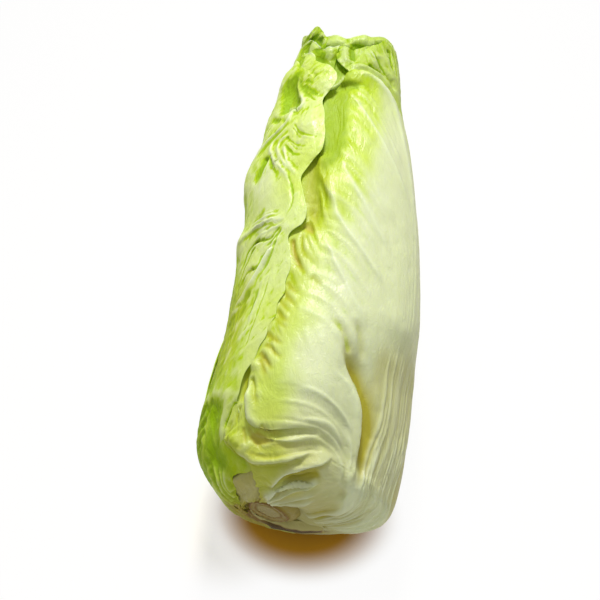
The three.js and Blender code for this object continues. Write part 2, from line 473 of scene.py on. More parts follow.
def right_form():
    """The right wrapper's broad form: the waist and the midrib, and the bulge of the lower lobe."""
    end = (172, 172, 170, 170, 170, 170, 168, 166, 160, 150, 140)

    def depth(share, angle):
        seam = curve(SEAM, share)
        close = smooth(share, 0.38, 0.42) * smooth(share, 0.55, 0.51)
        under = smooth((angle - seam - 8 - 4 * close) / -12.0) * smooth(share, 0.3, 0.35)
        under = under * (mix(1.2, 1.5, smooth(share, 0.5, 0.6)) - 0.35 * close)
        under = under + 1.7 * close * smooth((angle - seam + 2) / -10.0)
        side = curve(BACK_OVER_RIGHT, share)
        return under + LAYER * smooth((angle - side + 10) / 18.0) * smooth(tucked(share, angle), 0.2, 0.27)

    leaf = leaf_grid("right_wrapper_leaf", 350, 220, RIGHT_MARGIN, end, RIGHT_TIP, depth,
                     row_stops=((0, 1.3), (0.25, 1.2), (0.6, 1), (1, 1)),
                     column_stops=((0, 1.3), (0.5, 1), (0.66, 0.9), (0.72, 0.3), (1, 0.25)))
    shoulder = shoulder_line(leaf)
    leaf.rise -= 6.0 * leaf.zone((shoulder + 0.03, shoulder - 0.07, 0.08, 0.26), (8, 30, 105, 70))
    leaf.stroke(((0.44, 54), (0.5, 56), (0.58, 58), (0.7, 62)), 16, 2.0, ends=(0.1, 0.4))
    leaf.bump(0.34, -2, (26, 26), 3.0)
    # the ridge at the midrib's foot: its pale paint is partly the pale midrib and partly a painted highlight
    # on its top
    leaf.stroke(((0.25, 36), (0.222, 34.5), (0.182, 33.5), (0.118, 39), (0.076, 54), (0.05, 75)), 5, 3.0,
                left=6, right=4, ends=(0.35, 0.3), vein=0.4)
    leaf.rise += 3.0 * leaf.zone((0.0, 0.035, 0.12, 0.05))
    leaf.stroke(((0.82, -4), (0.74, -3), (0.66, -6), (0.6, -11), (0.54, -18)), 9, -2.0, ends=(0.02, 0.3))
    leaf.bump(0.12, 108, (18, 15), 3.2)
    leaf.rise -= waist(leaf.share, leaf.angle)
    leaf.settle()
    return leaf


def right_valley(leaf):
    """The long valley, crisp against the round edge of the lower lobe, with shade painted olive and brown
    into it and its side creases, and a highlight painted along the petiole ridge beside it.
    """
    edge = ((0.13, 32), (0.188, 31), (0.214, 33), (0.25, 33.5), (0.282, 34), (0.308, 34), (0.336, 32),
            (0.356, 29), (0.374, 26), (0.39, 20))
    leaf.stroke(edge, 5, 2.6, left=11, right=1.6, ends=(0.2, 0.3))
    valley = ((0.19, 42), (0.225, 42), (0.268, 40), (0.296, 40.5), (0.32, 39.5), (0.342, 37), (0.36, 33.5),
              (0.376, 29), (0.392, 24), (0.42, 16))
    leaf.stroke(valley, 5, -5.0, left=3.4, right=9, ends=(0.35, 0.25))
    # painted shade: olive and brown down the valley
    leaf.stroke(valley, 3, olive=1.4, left=3.6, right=6.5, ends=(0.4, 0.3))
    leaf.stroke(valley, 3, dry=0.2, left=2.4, right=2.4, ends=(0.4, 0.3))
    leaf.stroke(((0.445, 8), (0.43, 15), (0.405, 23)), 2.4, -1.6, olive=0.25, ends=(0.3, 0.2))
    leaf.stroke(((0.45, 21), (0.43, 26), (0.4, 32)), 2.4, -1.4, olive=0.25, ends=(0.3, 0.3))
    leaf.stroke(((0.15, 30), (0.13, 32), (0.112, 35), (0.098, 40)), 1.6, -1.2, olive=0.3, ends=(0.4, 0.4))
    # pale paint on the petiole ridge: partly its pale colour and partly a painted highlight
    leaf.stroke(((0.21, 36), (0.17, 36), (0.13, 40), (0.1, 48), (0.07, 66)), 3.4, vein=0.7, ends=(0.3, 0.4))


def lower_lobe(leaf):
    """The lower lobe: rolls that end in sharp lips, each over the next, with highlights painted on the lips
    and tops and shade painted olive and green into the creases and pockets.
    """
    crest(leaf, ((0.35, -31), (0.33, -29.5), (0.308, -28), (0.294, -24), (0.286, -18), (0.286, -12),
                 (0.289, -5), (0.292, 5), (0.3, 14)), 2.4, 8, ends=(0.1, 0.5), vein=0.2)
    crest(leaf, ((0.302, -30), (0.284, -28), (0.276, -24), (0.27, -18), (0.266, -8), (0.27, 4), (0.276, 12)),
          1.0, 3.4, drop=0.9, lean=0.1, ends=(0.25, 0.5), vein=0.15, green=0.25, olive=0.3)
    crest(leaf, ((0.286, -45), (0.262, -40), (0.244, -35.5), (0.227, -32), (0.221, -26), (0.221, -14),
                 (0.232, -4), (0.246, 3), (0.256, 8)), 4.2, 9, drop=1.5, lean=0.1, ends=(0.03, 0.3), vein=0.4,
          green=0.6)
    crest(leaf, ((0.112, -27), (0.15, -22), (0.176, -16), (0.194, -9), (0.206, 0), (0.218, 8), (0.232, 13),
                 (0.25, 17)), 3.0, 4, drop=1.0, lean=0.2, ends=(0.1, 0.25), vein=0.9, green=0.2, olive=0.35)
    leaf.stroke(((0.14, -17), (0.168, -4), (0.184, 6), (0.198, 11)), 3.0, -2.0, olive=0.7, ends=(0.3, 0.15))
    leaf.stroke(((0.062, -26), (0.098, -17), (0.124, -6), (0.138, 4), (0.156, 11)), 2, 2.6, left=2.6,
                right=0.8, ends=(0.1, 0.12), vein=0.9)
    leaf.stroke(((0.056, -22), (0.088, -13), (0.11, -4), (0.124, 6)), 1.5, -1.4, olive=0.6, green=0.2,
                ends=(0.1, 0.3))
    sheaf(leaf, ((0.044, -26), (0.064, -14), (0.092, -5), (0.108, 5), (0.116, 13)),
          ((0.006, -8), (0.018, 12), (0.034, 24), (0.052, 32)), 4, 1.6, 1.7, 45, uneven=0.25, left=2.2,
          right=0.9, vein=0.8, ends=(0.05, 0.2))
    sheaf(leaf, ((0.052, -27), (0.074, -14), (0.1, -3), (0.116, 7)),
          ((0.016, -8), (0.03, 12), (0.046, 24)), 4, 1.1, -1.0, 45, uneven=0.25, olive=0.6, green=0.5,
          ends=(0.04, 0.3))
    leaf.bump(0.06, -14, (9, 10), fresh=0.6)
    leaf.settle()


def lobe_lines(leaf):
    """The small creases of the lower lobe, with shade painted olive and green into them, the pale lines that
    sweep round it, and its pleats.
    """
    for path, width, height, olive in (
            (((0.3, -30), (0.288, -29), (0.276, -25), (0.27, -18), (0.268, -11)), 1.0, -1.0, 0.5),
            (((0.28, -30), (0.268, -26), (0.262, -20)), 0.9, -0.9, 0.6),
            (((0.29, -27), (0.277, -22), (0.272, -15)), 0.8, -0.6, 0.3),
            (((0.296, -33), (0.28, -32.5), (0.26, -32)), 1.0, -1.0, 0.5),
            (((0.312, -41), (0.296, -44), (0.278, -42), (0.262, -40)), 0.9, -0.8, 0.1),
            (((0.33, -36), (0.314, -38), (0.3, -39)), 1.2, -1.0, 0.3),
            (((0.25, -32), (0.238, -24), (0.236, -14), (0.248, -3)), 1.0, -0.5, 0.2)):
        leaf.stroke(path, width, height, ends=(0.15, 0.5))
        leaf.stroke(path, 0.8 * width, olive=olive, green=0.3, ends=(0.1, 0.5))
    for path, width, height in (
            (((0.262, -28), (0.262, -19), (0.266, -8), (0.278, 6), (0.284, 13)), 1.6, 0.9),
            (((0.286, -39), (0.274, -37), (0.262, -38)), 3.2, 1.4), (((0.27, -34), (0.252, -31)), 2.4, 0.8),
            (((0.304, -46), (0.286, -46), (0.268, -43.5)), 1.2, 1.2)):
        leaf.stroke(path, width, height, vein=0.1, ends=(0.25, 0.4), power=1.5)
    for path in (((0.346, -8), (0.344, 3), (0.334, 13), (0.324, 19), (0.308, 26), (0.292, 31)),
                 ((0.302, -7), (0.304, 8), (0.3, 15), (0.282, 20), (0.252, 23)),
                 ((0.376, 12), (0.364, 22), (0.34, 29), (0.31, 32)),
                 ((0.258, 20), (0.218, 24), (0.17, 26), (0.12, 31)),
                 ((0.306, 24), (0.27, 29), (0.232, 30), (0.19, 29))):
        leaf.stroke(path, 1.8, 0.7, vein=0.35, left=1.2, right=2.6, ends=(0.3, 0.3))
    sheaf(leaf, ((0.305, -27), (0.3, -10), (0.295, 6), (0.28, 18), (0.24, 27), (0.17, 30)),
          ((0.235, -34), (0.235, -18), (0.245, -2), (0.253, 8), (0.255, 15)), 9, 1.5, -0.8, 11)
    sheaf(leaf, ((0.35, -24), (0.345, -5), (0.33, 12), (0.3, 25), (0.24, 33)),
          ((0.31, -20), (0.305, 0), (0.3, 10), (0.28, 20), (0.22, 29)), 6, 1.6, -0.5, 12)
    sheaf(leaf, ((0.21, 10), (0.175, -4), (0.15, -16), (0.13, -28)),
          ((0.155, 8), (0.13, -6), (0.1, -16), (0.08, -26)), 6, 1.2, -0.6, 13)
    sheaf(leaf, ((0.17, 14), (0.12, 10), (0.07, 4)), ((0.2, 34), (0.12, 34), (0.05, 26)), 6, 1.6, -0.5, 15)


def upper_folds(leaf):
    """The crest beside the pocket, with a highlight painted on its lip and shade painted beside it and in the
    valley under the ruffle, the fold along the top edge with its long rib, and the climbing veins.
    """
    lip = ((0.69, -10), (0.655, -9), (0.635, -5), (0.61, 1), (0.58, 7))
    leaf.stroke(lip, 3, 3.0, left=7, right=2.0, ends=(0.15, 0.4))
    # painted highlight along the lip
    leaf.stroke(lip, 0.9, vein=0.5, ends=(0.2, 0.4))
    # painted shade: green and olive in the crease below the lip
    leaf.stroke(((0.7, -14), (0.66, -15), (0.62, -14), (0.58, -12), (0.55, -15)), 5, -1.2, green=0.35,
                olive=0.45, ends=(0.05, 0.3))
    # painted shade: green down the valley under the ruffle and in the crease beside it
    leaf.stroke(((0.82, -6), (0.776, -10), (0.74, -6), (0.7, -4), (0.655, -6)), 6, green=1.1, left=12,
                right=5, ends=(0.02, 0.3))
    leaf.stroke(((0.818, -6), (0.82, 0), (0.822, 8), (0.824, 20)), 3.0, -2.2, left=2.0, right=5.0, green=0.6,
                ends=(0.02, 0.4))
    leaf.bump(0.842, 12, (7, 12), 2.0)
    rib = ((0.846, 6), (0.852, 16), (0.85, 27), (0.838, 37), (0.822, 46), (0.79, 55), (0.74, 60), (0.68, 66),
           (0.6, 68))
    leaf.stroke(rib, 3.4, 1.5, left=3.4, right=4.4, ends=(0.1, 0.4))
    leaf.stroke(rib, 2.6, vein=0.75, power=3, ends=(0.08, 0.4))
    for path in (((0.676, 3), (0.62, 18), (0.55, 40)), ((0.568, -5), (0.51, 8), (0.442, 28)),
                 ((0.81, 5), (0.74, 28), (0.64, 60)), ((0.62, -4), (0.57, 10), (0.5, 38))):
        leaf.stroke(path, 3.2, 0.9, ends=(0.3, 0.2))
        leaf.stroke(path, 1.3, 0.3, vein=0.6, ends=(0.3, 0.2))
    sheaf(leaf, ((0.84, 2), (0.8, 25), (0.7, 58)), ((0.46, -14), (0.44, 6), (0.4, 24)), 22, 2.4, 0.45, 16,
          vein=0.14)


def seam_gathers(leaf):
    """The small folds in which the margin gathers along the seam, in loose clusters, with shade painted olive
    into their creases.
    """
    sheaf(leaf, ((0.372, -26), (0.358, -22), (0.34, -16)), ((0.545, -19), (0.52, -13), (0.49, -4)), 16, 1.0,
          -0.45, 17, uneven=0.9, olive=0.1, ends=(0.08, 0.75))
    for path, width, height, olive in (
            (((0.578, -16), (0.568, -12), (0.56, -8)), 3.0, -2.2, 0.55),
            (((0.556, -22), (0.542, -21), (0.526, -18), (0.508, -13), (0.499, -9)), 1.8, -2.4, 0.9),
            (((0.498, -7), (0.49, -3), (0.484, 2)), 2.2, -1.0, 0.3),
            (((0.562, -17), (0.54, -15), (0.524, -11), (0.51, -5)), 1.8, -1.2, 0.25),
            (((0.492, -21), (0.482, -17), (0.472, -12)), 1.5, -1.3, 0.45),
            (((0.484, -23), (0.472, -19), (0.462, -15), (0.454, -11)), 1.6, -1.5, 0.5),
            (((0.472, -24), (0.46, -20), (0.448, -15)), 1.3, -1.1, 0.35),
            (((0.454, -23), (0.444, -19), (0.432, -13)), 1.7, -1.3, 0.4),
            (((0.444, -23), (0.432, -18), (0.424, -12)), 1.2, -0.9, 0.3),
            (((0.424, -26), (0.412, -20), (0.402, -14)), 1.9, -1.7, 0.6),
            (((0.408, -25), (0.4, -21), (0.39, -17), (0.384, -12)), 1.7, -1.6, 0.55),
            (((0.397, -27), (0.382, -22), (0.368, -17)), 1.8, -1.7, 0.7),
            (((0.388, -27), (0.376, -24), (0.36, -20)), 1.4, -1.4, 0.5)):
        leaf.stroke(path, width, 0.75 * height, left=0.6 * width, right=width, ends=(0.1, 0.6))
        # painted shade: olive in each gather's crease
        leaf.stroke(path, 0.8 * width, olive=1.2 * olive, ends=(0.05, 0.5))
    sheaf(leaf, ((0.57, -16), (0.54, -10), (0.51, -2)), ((0.67, -8), (0.62, -3), (0.57, 5)), 7, 1.6, -0.9, 19,
          uneven=0.7, olive=0.1, green=0.1, ends=(0.1, 0.7))


def midrib_lines(leaf):
    """The long ribs of the midrib, gathered to a fan at its foot."""
    sheaf(leaf, ((0.46, 48), (0.366, 50), (0.326, 49), (0.276, 45), (0.2, 42), (0.12, 50), (0.084, 60),
                 (0.05, 74), (0.02, 84)),
          ((0.46, 94), (0.364, 94), (0.31, 88), (0.242, 84), (0.154, 92), (0.09, 112), (0.05, 126),
           (0.02, 134)),
          22, 0.85, 0.45, 41, uneven=0.5, vein=0.3, ends=(0.1, 0.3))
    sheaf(leaf, ((0.68, 66), (0.6, 62), (0.5, 60), (0.44, 58)),
          ((0.68, 92), (0.6, 92), (0.5, 92), (0.44, 92)), 14, 1.2, 0.4, 42, uneven=0.6, vein=0.12)
    sheaf(leaf, ((0.03, 100), (0.046, 84), (0.07, 62), (0.132, 43), (0.216, 43), (0.264, 46), (0.33, 50)),
          ((0.072, 138), (0.102, 126), (0.134, 108), (0.208, 87), (0.266, 84), (0.316, 86), (0.37, 88)), 26,
          1.0, 0.4, 43, uneven=0.7, vein=0.3, ends=(0.1, 0.15))
    sheaf(leaf, ((0.012, 84), (0.042, 64), (0.09, 46), (0.15, 36)),
          ((0.056, 128), (0.076, 114), (0.106, 102), (0.172, 86)), 9, 1.3, 0.7, 46, uneven=0.5, vein=0.5,
          ends=(0.02, 0.5))
    # painted shade: olive in the grooves between the ribs
    sheaf(leaf, ((0.01, 80), (0.038, 62), (0.084, 46), (0.14, 38)),
          ((0.054, 124), (0.072, 110), (0.1, 98), (0.16, 84)), 9, 1.1, -0.3, 47, uneven=0.5, olive=0.35,
          ends=(0.02, 0.5))
    sheaf(leaf, ((0.02, 70), (0.045, 60), (0.08, 50), (0.12, 42)),
          ((0.05, 118), (0.08, 108), (0.12, 96), (0.18, 80)), 9, 1.6, -0.5, 44, uneven=0.6, olive=0.2,
          ends=(0.2, 0.3))


def seam_slot(leaf):
    """The slot where the right wrapper ducks under the left one, with shade painted green and olive into it
    and a highlight painted on the raised edge beside it.
    """
    leaf.stroke(((0.385, -33), (0.368, -35), (0.35, -35), (0.332, -35)), 2.6, -2.2, green=0.3, olive=0.5)
    leaf.bump(0.38, -29, (3.0, 3.0), 1.6)
    leaf.stroke(((0.364, -30), (0.34, -26), (0.318, -24)), 1.3, -1.8, olive=0.4, green=0.3, ends=(0.05, 0.4))
    leaf.stroke(((0.362, -31), (0.336, -29), (0.31, -27.5), (0.294, -22)), 1.2, 1.2, vein=0.35)
    for path in (((0.284, -28), (0.268, -26), (0.25, -23)), ((0.286, -26), (0.27, -22), (0.262, -17)),
                 ((0.296, -22), (0.284, -17), (0.28, -10))):
        leaf.stroke(path, 1.3, -1.0, olive=0.5, ends=(0.1, 0.5))


def beside_seam(leaf):
    """How far each place lies to the right of the seam, in degrees."""
    return leaf.angle - curve(SEAM, leaf.share)


def right_washes(leaf):
    """Shade painted green and olive along the seam, shade painted olive over the lower part and below the
    midrib's shoulder, a painted shadow band at the bottom of the foot, and fresh at the top.
    """
    beside, shoulder = beside_seam(leaf), shoulder_line(leaf)
    # painted shade: green and olive along the seam, under the overhanging left wrapper
    leaf.wash((0.3, 0.4), where=smooth(beside, 18, 2), green=0.35)
    leaf.wash((0.3, 0.4), where=smooth(beside, 22, 2), olive=0.2)
    leaf.wash((0.6, 0.68), where=smooth(beside, 10, 2), green=0.4)
    # painted shade: olive over the lower part, which turns away from the light
    leaf.wash((0.36, 0.2), olive=0.42)
    leaf.wash((0.36, 0.2), (-10, 20), olive=-0.12)
    leaf.wash((0.13, 0.05), olive=0.25)
    # painted shadow: a dark brown band along the bottom of the foot, where it meets the floor
    leaf.wash((0.078, 0.055), (120, 138), dry=0.85)
    leaf.wash((0.42, 0.3), (8, -22), fresh=0.45)
    # painted shade: olive and brown below the midrib's bright shoulder
    leaf.wash((shoulder, shoulder - 0.04, 0.16, 0.24), (34, 44), olive=0.4, dry=0.07)
    leaf.wash((0.6, 0.46), (36, 52), ribs=1.0)
    leaf.wash((0.11, 0.05), dry=0.16)
    leaf.wash((0.36, 0.28), (20, 4), fresh=0.15)
    leaf.wash((0.36, 0.28), (24, 4), olive=0.14)
    leaf.wash((0.56, 0.8), where=mix(1.0, 0.25, leaf.zone(angle=(14, 42))), fresh=1.15)
    leaf.wash(where=smooth(beside, 42, 8), fresh=0.9)
    leaf.wash((0.7, 0.5), (20, 50), fresh=-0.2)


def right_wrapper():
    """The broad pale leaf over the top and the right side."""
    leaf = right_form()
    for step in (right_valley, lower_lobe, lobe_lines, upper_folds, seam_gathers, midrib_lines, seam_slot,
                 right_washes):
        step(leaf)
    leaf.settle()
    crinkle(leaf, 0.1 + 0.35 * leaf.zone(angle=(75, 45)), 9, 1.8, 3, turn=25)
    leaf.settle()
    soften(leaf, 0.277, -26, 0.009, 6, 12)
    hollows(leaf, 0.3, 0.25)
    leaf.paint["green"] *= mix(0.25, 1.0, leaf.zone((0.32, 0.42))) * mix(0.3, 1.0, leaf.zone(angle=(34, 14)))
    leaf.paint["vein"] *= 1 - smooth(beside_seam(leaf), 14, 4) * leaf.zone((0.54, 0.6))
    leaf.wash((0.66, 0.84), (60, 20), green=0.22)
    leaf.wash((0.8, 0.86), (34, 18, 0, 8), green=0.35)
    patch = leaf.near(0.275, -41, 0.03, 8)
    leaf.wash(where=patch, green=0.5)
    leaf.paint["vein"] *= 1 - 0.7 * patch
    return leaf


# (share, angle, lift): lift is how far the ruffle stands up
LEFT_MARGIN = (
    (0.02, -40, -3.4), (0.1, -34, -3.4), (0.2, -31, -3.6), (0.29, -32, -3), (0.335, -38.5, 0.3),
    (0.347, -37.5, 1.2), (0.362, -36.5, 1.2), (0.376, -34.5, 0.8), (0.388, -30.4, 0.2), (0.405, -28.4, 0),
    (0.418, -25.4, 0), (0.432, -25.8, 0), (0.446, -23.0, 0), (0.462, -23.6, 0), (0.478, -20.8, 0),
    (0.494, -21.8, 0), (0.512, -20.4, 0), (0.535, -22.4, 0.2), (0.556, -25, 0.6), (0.565, -24, 1.0),
    (0.57, -21, 1.5), (0.575, -17.5, 1.8), (0.584, -15.5, 2), (0.597, -15.2, 2), (0.61, -17, 1.6),
    (0.628, -19.5, 1.2), (0.646, -21.5, 1.0), (0.66, -18, 1.0), (0.673, -14, 1.6), (0.682, -10.5, 2.4),
    (0.691, -8.6, 3), (0.704, -8, 3.4), (0.718, -8, 3.4), (0.734, -9, 3), (0.754, -10, 2.4),
    (0.774, -12.6, 1.4), (0.785, -12.6, 1), (0.797, -10, 1.6), (0.808, -7, 3), (0.818, -5, 4), (0.83, -4, 5),
    (0.842, -5, 5), (0.853, -8, 5), (0.863, -12.5, 5), (0.874, -20, 4.4), (0.888, -27, 4), (0.902, -29, 4),
    (0.914, -34, 3.6), (0.922, -44, 3),
)
LEFT_TIP = ((-170, 0.88), (-130, 0.9), (-95, 0.89), (-80, 0.885), (-71, 0.89), (-62, 0.914), (-58, 0.892),
            (-54, 0.908), (-48, 0.923), (-40, 0.924))
LEFT_FOOT = ((-175, 0.0), (-120, 0.0), (-108, 0.006), (-100, 0.024), (-95, 0.03), (-90, 0.048), (-85, 0.054),
             (-80, 0.072), (-76, 0.076), (-72, 0.098), (-69, 0.112), (-66, 0.136), (-63, 0.15), (-61, 0.162),
             (-59, 0.192), (-57.5, 0.202), (-53, 0.205), (-49, 0.2), (-45, 0.198), (-41, 0.19), (-36, 0.189),
             (-31, 0.183), (-26, 0.184))


def left_form():
    """The left wrapper's broad form: the swellings along its side, its smooth lobes and its ruffled
    margin."""
    start = (-136, -150, -160, -164, -164, -164, -164, -164, -162, -156, -146)

    def depth(share, angle):
        side = curve(BACK_OVER_LEFT, share)
        return 1.4 * smooth((angle - side - 10) / -18.0)

    leaf = leaf_grid("left_wrapper_leaf", 390, 180, start, LEFT_MARGIN, LEFT_TIP, depth, foot=LEFT_FOOT,
                     row_stops=((0, 0.8), (0.45, 0.9), (0.55, 1.4), (1, 1.4)),
                     column_stops=((0, 0.3), (0.4, 0.4), (0.5, 1), (0.8, 1.2), (1, 1.8)))
    leaf.bump(0.69, -78, (24, 16), 6)
    leaf.bump(0.79, -76, (16, 12), 2)
    leaf.bump(0.585, -74, (11, 10), 3.5)
    leaf.bump(0.43, -88, (34, 34), -4)
    leaf.bump(0.31, -86, (26, 26), 3.6)
    leaf.bump(0.635, -46, (22, 17), 3.5)
    leaf.bump(0.88, -62, (18, 10), 2.5)
    # painted shade: green in the trough
    leaf.stroke(((0.2, -60), (0.29, -62), (0.36, -55)), 8, -3.2, green=0.35)
    leaf.settle()
    ruffle(leaf, LEFT_MARGIN, 40)
    leaf.bump(0.85, -14, (13, 8), 1.6)
    leaf.bump(0.735, -20, (17, 10), 3.0)
    leaf.settle()
    return leaf


def green_pocket(leaf):
    """The deep pocket between the ruffle and the outside of the leaf, with shade painted deep green into it
    and its side folds.
    """
    pocket = ((0.875, -52), (0.84, -48), (0.8, -43), (0.772, -44))
    leaf.stroke(pocket, 9, -4.6, power=2.4, ends=(0.4, 0.15))
    leaf.stroke(pocket, 10, green=1.3, power=4, ends=(0.15, 0.1))
    leaf.stroke(((0.79, -68), (0.772, -57), (0.766, -48)), 3, -1.6, ends=(0.5, 0.2))
    leaf.stroke(((0.79, -68), (0.774, -58), (0.768, -48), (0.78, -42)), 3.4, green=0.9, ends=(0.7, 0.1))
    leaf.stroke(((0.7, -54), (0.69, -57), (0.676, -60), (0.66, -64)), 3.0, -2.2, ends=(0.1, 0.4))
    leaf.stroke(((0.702, -52), (0.694, -56), (0.68, -59), (0.656, -64)), 2.6, green=1.0, ends=(0.05, 0.8))
    leaf.stroke(((0.7, -50), (0.684, -48), (0.668, -43), (0.652, -38)), 1.3, -1.0, green=0.5,
                ends=(0.05, 0.5))
    leaf.bump(0.893, -43, (8, 4), -0.8, green=0.45)
    leaf.settle()


def ruffle_ridges(leaf):
    """The winding ridge that carries the ruffle, the rim of the outer side, and the folds between them, with
    highlights painted pale along their tops and shade painted green into the creases.
    """
    spine = ((0.858, -38), (0.843, -40), (0.826, -38), (0.806, -33), (0.786, -28),
             (0.772, -29), (0.766, -36), (0.752, -39), (0.742, -46), (0.734, -56), (0.722, -66), (0.704, -73))
    leaf.stroke(spine, 2.8, 1.8, left=1.4, right=3.0, power=1.5, ends=(0.12, 0.2))
    leaf.stroke(spine, 1.5, vein=0.6, ends=(0.05, 0.1))
    leaf.stroke(((0.912, -62), (0.894, -70), (0.87, -73), (0.84, -73)), 2.0, vein=0.7, ends=(0.02, 0.3))
    rim = ((0.934, -54), (0.924, -44), (0.912, -34), (0.9, -29), (0.888, -27))
    leaf.stroke(rim, 1.6, 0.9, ends=(0.05, 0.35))
    leaf.stroke(rim, 1.3, vein=0.8, ends=(0.05, 0.3))
    for path, height, low, high in (
            (((0.74, -37), (0.732, -44), (0.724, -50), (0.712, -52), (0.699, -49), (0.684, -44), (0.666, -37),
              (0.648, -31), (0.624, -25)), 1.2, 1.2, 2.0),
            (((0.722, -34), (0.72, -41), (0.712, -44), (0.7, -43), (0.676, -36), (0.65, -27)), 1.1, 1.0, 1.8),
            (((0.706, -38), (0.69, -36), (0.668, -31), (0.648, -24.5)), 0.9, 0.8, 1.3)):
        leaf.stroke(path, 2, height, left=low, right=high, power=1.4, ends=(0.12, 0.3))
        leaf.stroke(path, 0.9, vein=0.55, ends=(0.12, 0.3))
    for path, width, height, green in (
            (((0.828, -33), (0.812, -27), (0.798, -20), (0.786, -14)), 2.6, -1.0, 1.0),
            (((0.838, -31), (0.826, -25), (0.814, -20)), 1.6, -0.4, 0.6),
            (((0.812, -31), (0.796, -25), (0.784, -20), (0.776, -15)), 0.8, -0.6, 0.5),
            (((0.872, -20), (0.856, -14), (0.842, -10)), 2.0, -0.4, 0.1),
            (((0.74, -32), (0.726, -28), (0.713, -22), (0.706, -14), (0.708, -10)), 0.9, -0.7, 0.35),
            (((0.722, -38), (0.706, -31), (0.696, -24), (0.69, -16)), 0.8, -0.5, 0.2),
            (((0.734, -33), (0.719, -28), (0.706, -22), (0.699, -14)), 0.7, -0.4, 0.15),
            (((0.714, -36), (0.699, -30), (0.689, -24), (0.684, -17)), 0.7, -0.4, 0.2),
            (((0.708, -38), (0.692, -32), (0.682, -26), (0.676, -18)), 1.0, -0.6, 0.45),
            (((0.652, -31), (0.63, -26.5), (0.606, -25), (0.584, -29)), 1.0, -0.9, 0.55),
            (((0.8, -36), (0.78, -33), (0.762, -38)), 1.2, -0.7, 0.3)):
        leaf.stroke(path, width, height, ends=(0.12, 0.45), power=1.5)
        leaf.stroke(path, width, green=green, ends=(0.08, 0.4))


def side_ropes(leaf):
    """Ropes that run from the tongue down the side, each over the next, with a highlight painted along their
    tops and shade painted green into the creases between them.
    """
    leaf.stroke(((0.586, -28), (0.586, -38), (0.588, -48), (0.586, -62), (0.58, -74)), 3, 1.0, left=1.2,
                right=4.0, ends=(0.15, 0.15), vein=0.2)
    sheaf(leaf, ((0.602, -33), (0.604, -46), (0.602, -60)), ((0.576, -30), (0.572, -42), (0.572, -56)), 5,
          0.9, 0.6, 28, uneven=0.5, vein=0.3, ends=(0.2, 0.3))
    leaf.stroke(((0.566, -31), (0.556, -33), (0.535, -38), (0.512, -44), (0.495, -50), (0.478, -57),
                 (0.462, -67)), 3,
                2.2, left=2.6, right=1.5, ends=(0.1, 0.15))
    leaf.stroke(((0.556, -33), (0.535, -38), (0.512, -44), (0.495, -50)), 1.6, vein=0.45, ends=(0.2, 0.3))
    for path, height, width in (
            (((0.576, -31), (0.57, -34), (0.562, -38), (0.564, -46), (0.566, -58)), -1.8, 1.3),
            (((0.568, -46), (0.564, -52), (0.558, -58), (0.542, -62), (0.532, -66)), -1.6, 1.4),
            (((0.56, -49), (0.552, -54), (0.542, -57), (0.532, -60), (0.522, -62), (0.508, -66)), -1.3, 1.1),
            (((0.556, -31), (0.546, -36), (0.538, -42), (0.526, -45), (0.524, -54), (0.514, -59),
              (0.506, -63)), -1.8,
             1.3),
            (((0.574, -30), (0.566, -31.5), (0.544, -34), (0.53, -36), (0.52, -38), (0.508, -42),
              (0.494, -44)), -1.9,
             1.1),
            (((0.49, -46), (0.482, -50), (0.478, -54), (0.474, -60), (0.466, -64), (0.454, -68)), -1.3, 1.1),
            (((0.566, -32), (0.556, -36), (0.552, -42)), -1.0, 1.0)):
        leaf.stroke(path, 0.8 * width, 0.75 * height, left=0.6 * width, right=width, ends=(0.1, 0.4))
        leaf.stroke(path, 0.8 * width, green=0.6, ends=(0.05, 0.4))


